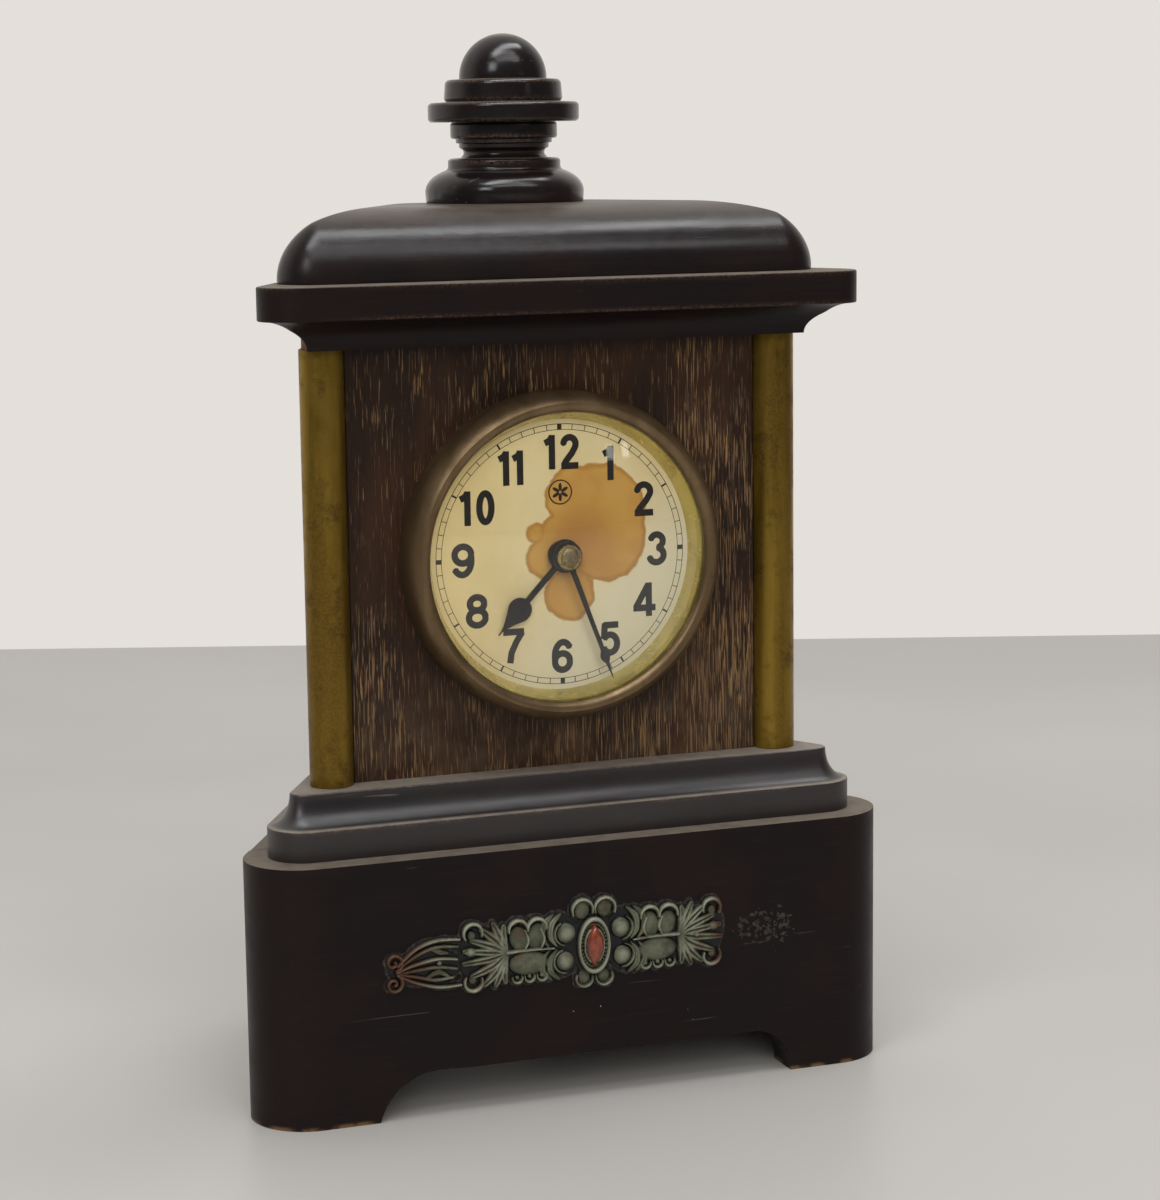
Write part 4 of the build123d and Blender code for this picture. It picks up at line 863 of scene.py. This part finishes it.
# ================================================================ flat work drawn as a field
class Field:
    """A height field in (x, z) millimetres: inside is positive in the shape, height is the relief."""

    outside = -9.0

    def __init__(self, x0, x1, z0, z1, step):
        self.step = step
        self.xs = np.arange(x0, x1 + step, step)
        self.zs = np.arange(z0, z1 + step, step)
        self.X, self.Z = np.meshgrid(self.xs, self.zs, indexing="ij")
        self.inside = np.full(self.X.shape, self.outside)
        self.height = np.zeros(self.X.shape)

    def add(self, inside, height):
        self.inside = np.maximum(self.inside, inside)
        self.height = np.where(inside > 0, np.maximum(self.height, height), self.height)

    def pillow(self, x, z, wide, tall, low, high, turn=0.0):
        """Rounded mound on an ellipse."""
        cosine, sine = math.cos(math.radians(turn)), math.sin(math.radians(turn))
        u = (self.X - x) * cosine + (self.Z - z) * sine
        v = (self.Z - z) * cosine - (self.X - x) * sine
        reach = np.sqrt((u / wide) ** 2 + (v / tall) ** 2)
        inside = (1 - reach) * min(wide, tall)
        self.add(inside, low + (high - low) * np.sqrt(np.clip(1 - reach ** 2, 0, 1)))

    def stroke(self, points, widths, low, high, groove=0.0):
        """Ridge along a smooth line through points, its half-width running through widths."""
        line = smooth_line(points, 40)
        half = np.interp(np.linspace(0, 1, len(line)), np.linspace(0, 1, len(widths)), widths)
        best = np.full(self.X.shape, self.outside)
        share = np.zeros(self.X.shape)
        away = np.zeros(self.X.shape)
        for (x0, z0), (x1, z1), w0, w1 in zip(line, line[1:], half, half[1:]):
            dx, dz = x1 - x0, z1 - z0
            t = np.clip(((self.X - x0) * dx + (self.Z - z0) * dz) / (dx * dx + dz * dz + 1e-9), 0, 1)
            distance = np.hypot(self.X - x0 - t * dx, self.Z - z0 - t * dz)
            width = w0 + (w1 - w0) * t
            inside = width - distance
            better = inside > best
            best = np.where(better, inside, best)
            share = np.where(better, np.clip(inside / np.maximum(width, 0.05), 0, 1), share)
            away = np.where(better, distance, away)
        rise = np.sqrt(np.clip(1 - (1 - share) ** 2, 0, 1))
        self.add(best, low + (high - low) * rise - groove * np.exp(-(away / 0.28) ** 2))

    def hood(self, x, z, radius, start, end, width, low, high):
        """Ridge along an arc, angles in degrees."""
        points = [(x + radius * math.cos(math.radians(a)), z + radius * math.sin(math.radians(a)))
                  for a in np.linspace(start, end, 9)]
        self.stroke(points, (width * 0.5, width, width * 0.9, width * 0.4), low, high)

    def spiral(self, x, z, radius, turns, start, hand, width, low, high):
        points = []
        for share in np.linspace(0, 1, 14):
            angle = math.radians(start + hand * 360 * turns * share)
            reach = radius * (1 - 0.82 * share)
            points.append((x + reach * math.cos(angle), z + reach * math.sin(angle)))
        self.stroke(points, (width, width * 0.8, width * 0.9), low, high)

    def solid(self, name, back, material, body, replaces=()):
        """Closed piece: front at back - height, its outline drawn to where inside is zero."""
        inside, step = self.inside, self.step
        centre = (inside[:-1, :-1] + inside[1:, :-1] + inside[:-1, 1:] + inside[1:, 1:]) / 4
        cells = centre > 0
        slope_x, slope_z = np.gradient(inside, step)
        steep = np.maximum(slope_x ** 2 + slope_z ** 2, 0.05)
        used = np.zeros(inside.shape, int)
        for di in (0, 1):
            for dj in (0, 1):
                used[di:di + cells.shape[0], dj:dj + cells.shape[1]] += cells
        rim = (used > 0) & (used < 4)
        move = np.where(rim, np.clip(inside / steep, -step, step), 0)
        X = self.X - move * slope_x
        Z = self.Z - move * slope_z
        number = -np.ones(inside.shape, int)
        number[used > 0] = np.arange((used > 0).sum())
        count = int((used > 0).sum())
        picked = used > 0
        xs, zs, hs = X[picked], Z[picked], np.maximum(self.height[picked], 0.02)
        front = [(x, back - h, z) for x, z, h in zip(xs, zs, hs)]
        rear = [(x, back, z) for x, z in zip(xs, zs)]
        faces = []
        walls = {}
        for i, j in zip(*np.nonzero(cells)):
            ring = (number[i, j], number[i + 1, j], number[i + 1, j + 1], number[i, j + 1])
            ring = tuple(int(n) for n in ring)
            faces.append(ring)
            faces.append(tuple(n + count for n in reversed(ring)))
            for a, b in zip(ring, ring[1:] + ring[:1]):
                if (b, a) in walls:
                    del walls[(b, a)]
                else:
                    walls[(a, b)] = True
        for a, b in walls:
            faces.append((b, a, a + count, b + count))
        piece = new_piece(name, front + rear, faces, material, body, replaces)
        set_attribute(piece.data, "height", list(hs) + [0.0] * count)
        return piece


def smooth_line(points, steps):
    """Catmull-Rom line through points."""
    if len(points) == 2:
        return points
    line = []
    ends = [points[0]] + list(points) + [points[-1]]
    spans = len(points) - 1
    for index in range(steps + 1):
        place = index / steps * spans
        k = min(int(place), spans - 1)
        t = place - k
        p0, p1, p2, p3 = ends[k:k + 4]
        line.append(tuple(
            0.5 * (2 * b + (c - a) * t + (2 * a - 5 * b + 4 * c - d) * t * t
                   + (3 * b - a - 3 * c + d) * t ** 3)
            for a, b, c, d in zip(p0, p1, p2, p3)))
    return line


# ================================================================ dial
ink_depth = 0.03                         # thickness of the printing
stroke_half = 0.80                       # half the width of a numeral's strokes
WIDENED = {1: 1.0, 2: 1.1, 3: 1.1, 4: 1.28, 5: 1.12, 6: 1.26, 7: 1.26, 8: 1.3, 9: 1.36}
track_inner, track_outer = 30.0, 31.2


def ring_points(x, z, wide, tall, start, end, steps=16):
    return [(x + wide * math.cos(math.radians(start + (end - start) * k / steps)),
             z + tall * math.sin(math.radians(start + (end - start) * k / steps))) for k in range(steps + 1)]


# Centre lines of bold plain numerals 8.2 mm tall: each is a list of strokes, each stroke a list of points.
NUMERALS = {
    "0": [ring_points(0, 0, 1.5, 3.38, 0, 360, 28)],
    "1": [[(0.55, -4.1), (0.55, 4.1)], [(0.7, 3.75), (-0.1, 2.75), (-1.25, 2.2)]],
    "2": [ring_points(0, 1.72, 1.55, 1.66, 178, -28, 16) + [(0.55, -0.5), (-0.9, -2.2), (-1.5, -3.3)],
          [(-2.15, -3.42), (2.2, -3.42)]],
    "3": [ring_points(-0.05, 1.78, 1.45, 1.6, 165, -80, 16),
          ring_points(-0.1, -1.6, 1.68, 1.78, 82, -168, 18)],
    "4": [[(0.85, -4.1), (0.85, 4.1)], [(0.75, 3.7), (-1.75, -1.75)], [(-2.3, -2.0), (2.2, -2.0)]],
    "5": [[(-1.5, 3.42), (1.9, 3.42)], [(-1.2, 3.9), (-1.45, 0.1)],
          ring_points(-0.05, -1.15, 1.62, 2.2, 148, -158, 18)],
    "6": [ring_points(0, -1.35, 1.52, 2.0, 0, 360, 24), ring_points(0.15, 0.0, 1.68, 3.38, 36, 196, 16)],
    "7": [[(-2.05, 3.42), (2.1, 3.42)], [(1.75, 3.3), (0.5, 0.9), (-0.45, -1.6), (-0.75, -4.1)]],
    "8": [ring_points(0, 1.78, 1.38, 1.6, 0, 360, 24), ring_points(0, -1.55, 1.6, 1.82, 0, 360, 24)],
    "9": [ring_points(0, 1.35, 1.52, 2.0, 0, 360, 24), ring_points(-0.15, 0.0, 1.68, 3.38, 216, 376, 16)],
}


def draw_line(field, points, half):
    """Stroke of constant width with flat ends."""
    for index, ((x0, z0), (x1, z1)) in enumerate(zip(points, points[1:])):
        length = math.hypot(x1 - x0, z1 - z0)
        along = ((field.X - x0) * (x1 - x0) + (field.Z - z0) * (z1 - z0)) / length
        aside = np.abs((field.X - x0) * (z1 - z0) - (field.Z - z0) * (x1 - x0)) / length
        past = np.maximum(-along, along - length)
        inside = half - np.hypot(aside, np.maximum(past, 0))
        if index == 0:
            inside = np.minimum(inside, along)
        if index == len(points) - 2:
            inside = np.minimum(inside, length - along)
        field.inside = np.maximum(field.inside, inside)


def make_numerals(ink):
    """Twelve upright numerals centred on a circle, each a thin layer of ink."""
    radius, half_gap, narrow_half_gap = 24.6, 2.5, 1.75
    for hour in range(1, 13):
        turn = math.radians(30 * hour)
        x, z = radius * math.sin(turn), dial_z + radius * math.cos(turn)
        text = str(hour)
        shifts = (0.0,) if len(text) == 1 else (-half_gap, half_gap)
        if hour == 11:
            shifts = (-narrow_half_gap, narrow_half_gap)
        wide = WIDENED.get(hour, 1.0)
        field = Field(x - 5.6, x + 5.6, z - 4.6, z + 4.6, 0.11)
        field.height[:] = ink_depth
        for digit, shift in zip(text, shifts):
            for line in NUMERALS[digit]:
                draw_line(field, [(x + shift + u * wide, z + v) for u, v in line], stroke_half)
        field.solid(f"numeral_{hour}", deep(dial_face), ink, "case")


def flat_ring(inner, outer, depth0, depth1, segments=240):
    return lathe([(inner, depth0), (outer, depth0), (outer, depth1), (inner, depth1)], segments, about_dial)


def make_track(ink):
    """Minute track: two thin circles, sixty ticks, heavier ones each five minutes, blocks at the quarters."""
    vertices = []
    faces = []

    def merge(part):
        offset = len(vertices)
        vertices.extend(part[0])
        faces.extend(tuple(n + offset for n in face) for face in part[1])

    front, back = dial_face - ink_depth, dial_face
    merge(flat_ring(track_outer, track_outer + 0.16, front, back))
    merge(flat_ring(track_inner - 0.14, track_inner, front, back))
    for minute in range(60):
        angle = math.radians(6 * minute)
        half, inner, outer = 0.09, track_inner, track_outer
        if minute % 5 == 0:
            half = 0.22
        if minute % 15 == 0:
            half, inner, outer = 0.55, track_inner - 0.05, track_outer + 0.05
        corners = []
        for depth in (front, back):
            for radius, side in ((inner, -half), (outer, -half), (outer, half), (inner, half)):
                corners.append((radius * math.sin(angle) + side * math.cos(angle), deep(depth),
                                dial_z + radius * math.cos(angle) - side * math.sin(angle)))
        box = [(0, 1, 2, 3), (7, 6, 5, 4), (0, 4, 5, 1), (1, 5, 6, 2), (2, 6, 7, 3), (3, 7, 4, 0)]
        merge((corners, box))
    new_piece("minute_track", vertices, faces, ink, "case")


def make_rosette(ink):
    """A plain six-petal rosette in a thin ring, where the dial had a printed device."""
    x, z = 0.0, dial_z + 15.0
    field = Field(x - 3.4, x + 3.4, z - 3.4, z + 3.4, 0.1)
    field.height[:] = ink_depth
    from_centre = np.hypot(field.X - x, field.Z - z)
    field.inside = np.maximum(field.inside, 0.17 - np.abs(from_centre - 2.85))
    for petal in range(6):
        turn = math.radians(60 * petal + 30)
        u = (field.X - x) * math.cos(turn) + (field.Z - z) * math.sin(turn)
        v = (field.Z - z) * math.cos(turn) - (field.X - x) * math.sin(turn)
        field.inside = np.maximum(field.inside, (1 - np.hypot((u - 1.25) / 0.95, v / 0.42)) * 0.42)
    field.solid("dial_rosette", deep(dial_face), ink, "case")


# ================================================================ hands
def make_hand(name, node, body, angle, half_width_at, length, collar, bore, material):
    """Flat hand with a domed face: half_width_at(share of its length) gives its outline."""
    depth0, depth1 = extent(node)[1]
    field = Field(-collar - 1, collar + 1, -collar - 1, length + 1, 0.12)
    share = np.clip(field.Z / length, 0, 1)
    width = np.vectorize(half_width_at)(share)
    blade = np.minimum(width - np.abs(field.X), np.minimum(field.Z, length - field.Z))
    disc = collar - np.hypot(field.X, field.Z)
    inside = np.minimum(np.maximum(blade, disc), np.hypot(field.X, field.Z) - bore)
    thickness = depth1 - depth0
    edge = np.clip(inside / 0.35, 0, 1)
    field.add(inside, thickness * (0.45 + 0.55 * np.sqrt(1 - (1 - edge) ** 2)))
    piece = field.solid(name, deep(depth1), material, body, (node,))
    turn = -math.radians(angle)
    cosine, sine = math.cos(turn), math.sin(turn)
    for vertex in piece.data.vertices:
        x, z = vertex.co.x, vertex.co.z
        vertex.co.x = x * cosine - z * sine
        vertex.co.z = x * sine + z * cosine + dial_z * MM
    piece.data.update()


hour_length = 24.7
minute_length = 32.8


def hour_outline(share):
    """Half-width of the hour hand: a slim shank, a round bulb, then a hollow-sided point."""
    shank, bulb, middle, shoulder = 0.72, 2.95, 0.68, 0.74
    round_part = math.sqrt(max(bulb ** 2 - ((share - middle) * hour_length) ** 2, 0.0))
    if share < shoulder:
        return max(shank, round_part) if share < middle else round_part
    at_shoulder = math.sqrt(bulb ** 2 - ((shoulder - middle) * hour_length) ** 2)
    return max(at_shoulder * max(0.0, (1 - share) / (1 - shoulder)) ** 1.5, 0.12)


def minute_outline(share):
    """Half-width of the minute hand: a slim taper with a small pear near its tip."""
    pear = 1.2 * math.exp(-((share - 0.80) / 0.055) ** 2)
    taper = 0.72 - 0.25 * share if share < 0.82 else 0.55 * max(0.0, (1 - share) / 0.18)
    return max(taper, pear)


def make_cap_nut(material):
    """Domed brass nut over the hands, with a small turned step round its edge."""
    dome = [(2.75 * math.sin(t), 7.95 + 1.75 * (1 - math.cos(t))) for t in quarter(14)]
    profile = dome + rounded([(2.75, 9.7), (3.0, 9.8), (3.0, 10.8), (1.0, 10.8)], 0.12, closed=False)
    profile += [(1.0, 8.9), (0.0, 8.9)]
    vertices, faces = lathe(profile, 96, about_dial)
    new_piece("cap_nut", vertices, faces, material, "minute_arbor", ("centre_cap",))


# ================================================================ ornament
mount_middle = 37.6
cabochon_x = 0.8
mount_left, mount_right, mount_low, mount_high = -52.0, 36.0, 26.0, 51.0
mount_step = 0.17                        # spacing of the relief's grid


def draw_half(field, side):
    """One side of the pressed mount, from the bosses beside the stone out to the fan of leaves."""
    def at(out, up):
        return (cabochon_x + side * out, mount_middle + up)

    def mound(out, up, wide, tall, low, high, turn=0.0):
        x, z = at(out, up)
        field.pillow(x, z, wide, tall, low, high, side * turn)

    def arch(out, up, radius, start, end, width, low, high):
        x, z = at(out, up)
        if side < 0:
            start, end = 180 - start, 180 - end
        field.hood(x, z, radius, start, end, width, low, high)

    backing = ((8.0, 0.6, 5.2, 7.6), (15.5, 0.3, 7.0, 7.3), (22.5, 0.2, 5.2, 5.6), (28.3, 0.4, 5.4, 7.0))
    for out, up, wide, tall in backing:
        mound(out, up, wide, tall, 0.28, 0.4)
    for k, (out, up, radius) in enumerate(((6.9, 3.6, 2.4), (7.3, -3.2, 2.3))):
        mound(out, up, radius, radius * 1.05, 0.7, 1.75)
        arch(out, up, radius + 0.55, (60, -95)[k], (-80, 80)[k], 0.42, 0.5, 1.6)
    for shift in (0.0, 1.9):
        above = ((8.4, 8.4), (10.6, 6.2), (10.9, 3.0), (9.4, 0.7))
        below = ((8.8, -7.4), (10.9, -5.4), (11.0, -2.4), (9.4, -0.2))
        field.stroke([at(out + shift, up) for out, up in above], (0.3, 0.95, 0.8, 0.25), 0.5,
                     1.8 - shift * 0.1, groove=0.35)
        field.stroke([at(out + shift, up) for out, up in below], (0.3, 0.9, 0.7, 0.25), 0.5,
                     1.7 - shift * 0.1, groove=0.35)
    mound(14.5, 3.7, 2.3, 3.3, 0.6, 1.45, 12)
    mound(18.8, 3.5, 2.4, 3.1, 0.6, 1.45, -14)
    mound(16.4, -2.7, 5.0, 3.0, 0.6, 1.5)
    for shift in (0.0, 4.0):
        field.stroke([at(13.4 + shift, 0.9), at(12.6 + shift, 3.0), at(13.4 + shift, 5.4)],
                     (0.2, 0.5, 0.3), 0.5, 1.9)
    for out in (14.3, 19.1):
        arch(out, 5.6, 2.35, -8, 188, 0.62, 0.5, 1.95)
    for out in (13.2, 16.3, 19.4):
        arch(out, -5.9, 1.25, 170, 372, 0.5, 0.5, 1.7)
        mound(out, -5.9, 0.6, 0.6, 0.6, 1.5)
    field.stroke([at(10.0, 0.3), at(16.0, 0.55), at(21.8, 0.4)], (0.25, 0.45, 0.6), 0.5, 1.7)
    fan = ((22.6, 6.9, 1.2), (25.2, 7.7, 1.4), (28.2, 6.6, 1.5), (30.6, 4.2, 1.4), (32.4, 1.8, 1.2),
           (22.4, -6.6, 1.2), (24.8, -7.2, 1.4), (27.6, -6.8, 1.5), (30.6, -4.4, 1.4), (32.6, -1.2, 1.2))
    for out, up, width in fan:
        bend = 0.55 * up
        field.stroke([at(21.8, 0.4), at(21.8 + (out - 21.8) * 0.35 + 0.6, bend), at(out, up)],
                     (0.35, width, 0.6), 0.45, 1.85, groove=0.75)
    arch(30.3, 6.0, 2.3, -35, 200, 0.6, 0.5, 2.0)
    arch(30.3, -5.7, 2.2, 160, 395, 0.6, 0.5, 1.9)
    mound(30.5, 5.4, 1.1, 1.3, 0.5, 1.3)
    mound(30.8, 1.5, 1.5, 1.2, 0.6, 1.7)
    mound(30.4, -5.2, 1.1, 1.2, 0.5, 1.3)


def draw_tail(field):
    """The left end: long strands that gather into two volutes."""
    field.pillow(-41.0, 36.6, 9.0, 4.2, 0.25, 0.35)
    strands = (((-32.8, 42.6), (-38.5, 42.8), (-43.5, 41.2), (-48.0, 37.6)),
               ((-33.2, 40.9), (-38.5, 41.2), (-43.5, 39.6), (-48.2, 36.6)),
               ((-33.5, 37.9), (-38.0, 38.4), (-43.5, 37.6), (-48.2, 36.2)),
               ((-33.5, 35.6), (-38.0, 36.4), (-43.0, 36.2), (-48.2, 35.8)),
               ((-32.6, 31.6), (-38.0, 31.6), (-43.5, 33.2), (-48.0, 35.4)),
               ((-34.5, 33.6), (-39.0, 33.4), (-43.5, 34.6), (-48.0, 35.7)))
    for index, line in enumerate(strands):
        field.stroke(line, (0.35, 0.55, 0.5, 0.35), 0.4, 1.5 if index % 2 else 1.75)
    field.stroke(((-40.0, 41.0), (-37.5, 39.9), (-35.6, 39.6)), (0.3, 0.8, 0.3), 0.4, 1.5, groove=0.3)
    field.stroke(((-41.0, 34.0), (-38.0, 35.2), (-35.4, 33.8)), (0.3, 0.8, 0.4), 0.4, 1.5, groove=0.3)
    field.spiral(-48.9, 38.5, 2.3, 1.2, -50, 1, 0.5, 0.5, 1.7)
    field.spiral(-48.9, 33.4, 2.3, 1.3, 60, -1, 0.52, 0.5, 1.75)


def make_mount(material):
    """Pressed metal strip: strands, leaf fans, scallops, volutes and a beaded cartouche."""
    field = Field(mount_left, mount_right, mount_low, mount_high, mount_step)
    draw_half(field, 1)
    draw_half(field, -1)
    draw_tail(field)
    field.pillow(cabochon_x, mount_middle + 0.3, 4.9, 9.2, 0.35, 0.5)
    for side in (-1, 1):
        top, low = cabochon_x + side * 2.85, cabochon_x + side * 2.5
        field.pillow(top, 46.4, 2.1, 2.4, 0.5, 1.3)
        field.pillow(low, 29.9, 1.7, 1.9, 0.5, 1.2)
        field.hood(top, 46.4, 2.6, 90 - side * 115, 90 + side * 110, 0.55, 0.5, 1.9)
        field.hood(low, 29.8, 2.1, 270 + side * 110, 270 - side * 100, 0.5, 0.5, 1.7)
    collar_wide, collar_tall = 4.15, 7.1
    reach = np.hypot((field.X - cabochon_x) / collar_wide, (field.Z - mount_middle) / collar_tall)
    oval = reach < 1
    rim = np.clip(1 - ((reach - 0.90) / 0.10) ** 2, 0, 1)
    inner = np.clip(1 - ((reach - 0.585) / 0.055) ** 2, 0, 1)
    field.height = np.where(oval, 0.7 + 1.45 * np.sqrt(rim), field.height)
    field.height = np.where(oval & (inner > 0), 1.0 + 1.0 * np.sqrt(inner), field.height)
    field.inside = np.maximum(field.inside, (1 - reach) * 4.1)
    beads = 34
    for index in range(beads):
        turn = 2 * math.pi * index / beads
        x = cabochon_x + 0.735 * collar_wide * math.cos(turn)
        z = mount_middle + 0.735 * collar_tall * math.sin(turn)
        field.pillow(x, z, 0.33, 0.36, 0.9, 1.55)
    field.solid("pressed_mount", deep(0.0), material, "case", ("ornament_mount",))
    return field


def make_dust_line(mount, material):
    """Thin ragged line of dust that has gathered round the mount's edge."""
    halo = Field(mount_left - 1, mount_right + 1, mount_low - 1, mount_high + 1, 0.3)
    columns = np.clip(np.rint((halo.xs - mount_left) / mount_step).astype(int), 0, len(mount.xs) - 1)
    rows = np.clip(np.rint((halo.zs - mount_low) / mount_step).astype(int), 0, len(mount.zs) - 1)
    ragged = np.array([[perlin(Vector((x * 0.3, z * 0.3, 2.0))) for z in halo.zs] for x in halo.xs])
    halo.inside = mount.inside[np.ix_(columns, rows)] + 0.55 + 0.6 * ragged
    halo.height[:] = 0.05
    halo.solid("dust_line", deep(0.0), material, "case")


def make_stone(material):
    """Pointed oval stone."""
    half, tall = 2.35, 5.35
    field = Field(cabochon_x - 3, cabochon_x + 3, mount_middle - 6, mount_middle + 6, 0.15)
    radius = (half ** 2 + tall ** 2) / (2 * half)
    left = radius - np.hypot(field.X - cabochon_x + radius - half, field.Z - mount_middle)
    right = radius - np.hypot(field.X - cabochon_x - radius + half, field.Z - mount_middle)
    inside = np.minimum(left, right)
    field.add(inside, 1.0 + 2.05 * np.sqrt(np.clip(1 - (1 - np.clip(inside / half, 0, 1)) ** 2, 0, 1)))
    field.solid("stone", deep(-0.05), material, "case", ("ornament_cabochon",))


def make_residue(material):
    """Dried glue left on the base where the mount's right end has broken away."""
    field = Field(33.0, 54.0, 29.0, 46.0, 0.2)
    field.height[:] = 0.06
    patch = (1 - np.hypot((field.X - 45.5) / 7.5, (field.Z - 37.4) / 4.4)) * 4.4
    far = (1 - np.hypot((field.X - 50.0) / 2.6, (field.Z - 37.0) / 4.6)) * 2.6

    def rough(x, z):
        return perlin(Vector((x * 0.7, z * 0.8, 4.0))) + 0.6 * perlin(Vector((x * 1.9, z * 2.0, 9.0)))

    ragged = np.array([[rough(x, z) for z in field.zs] for x in field.xs])
    field.inside = np.maximum(np.minimum(patch, 0.9), np.minimum(far, 1.6)) + ragged * 3.4 - 1.3
    field.solid("glue_trace", deep(0.0), material, "case")


# ================================================================ build
def paint(material, *names):
    """Puts a material in a CAD node's slots."""
    for name in names:
        for index in range(len(nodes[name].data.materials)):
            nodes[name].data.materials[index] = material


def in_slot(*slots):
    return [name for name, slot in original_slots.items() if slot in slots]


original_slots = {name: piece.data.materials[0].name for name, piece in nodes.items()}

make_camera()
make_studio()
make_floor()

base_wood = ebonised_wood("ebonised_base", gloss=0.36, shine=0.16, specks=1.0)
case_wood = ebonised_wood("ebonised_case", gloss=0.34, shine=0.16)
for name in ("base_front_board", "base_side_left", "base_side_right", "base_back_rail"):
    eased(name, 0.5, base_wood)
for name in ("side_panel_left", "side_panel_right", "back_frame", "back_door"):
    eased(name, 0.35, case_wood)
eased("front_panel", 0.25, streaked_panel(), wear=0.0)
make_step(ebonised_wood("ebonised_step", gloss=0.32, shine=0.85, dust=0.8))
make_cornice(case_wood)
make_cap(ebonised_wood("ebonised_cap", gloss=0.22, shine=0.34, dust=0.28, dust_from=0.75))
make_finial(ebonised_wood("ebonised_finial", gloss=0.14, shine=0.42, dust=0.45, wear=0.5))
make_columns(aged_brass("column_brass", (146, 118, 44), (104, 80, 26), (78, 56, 24)))

soft = inner_wood()
paint(soft, *in_slot("inner_wood"))
paint(aged_brass("hinge_brass", (150, 122, 66), (112, 86, 44), (84, 62, 38)), "hinge_frame_leaves",
      "hinge_door_leaves", "door_turn_button")
paint(aged_brass("bezel_brass", (128, 106, 78), (108, 88, 62), (82, 65, 43), (0.34, 0.46), blotches=0.3),
      "bezel")
paint(aged_brass("ring_brass", (232, 216, 132), (206, 188, 104), (150, 130, 70), (0.16, 0.3), metal=0.35,
                 blotches=0.3),
      "sight_ring")
paint(bright_metal("winding_brass", (196, 164, 96), (150, 120, 64)), "winding_key", "hand_setting_knob")
paint(glass_material(), "dial_glass")
paint(dial_paper(), "dial")
paint(dark_steel(), "mainspring", "hairspring")
paint(bright_metal("movement_brass", (200, 170, 104), (150, 122, 70)), *in_slot("movement_brass"))
paint(bright_metal("movement_steel", (150, 148, 146), (126, 121, 116)), *in_slot("steel", "drum_steel"))

ink = printed_black()
make_numerals(ink)
make_track(ink)
make_rosette(ink)
hand_steel = dark_steel()
make_hand("hour_hand_blued", "hour_hand", "hour_wheel", 223.3, hour_outline, hour_length, 4.0, 2.4,
          hand_steel)
make_hand("minute_hand_blued", "minute_hand", "minute_arbor", 159.4, minute_outline, minute_length, 3.7, 1.6,
          hand_steel)
make_cap_nut(aged_brass("nut_brass", (206, 192, 150), (160, 144, 104), (70, 60, 44), (0.16, 0.3)))
old_glue = glue_film()
make_dust_line(make_mount(verdigris_metal()), old_glue)
make_stone(cabochon_stone())
make_residue(old_glue)
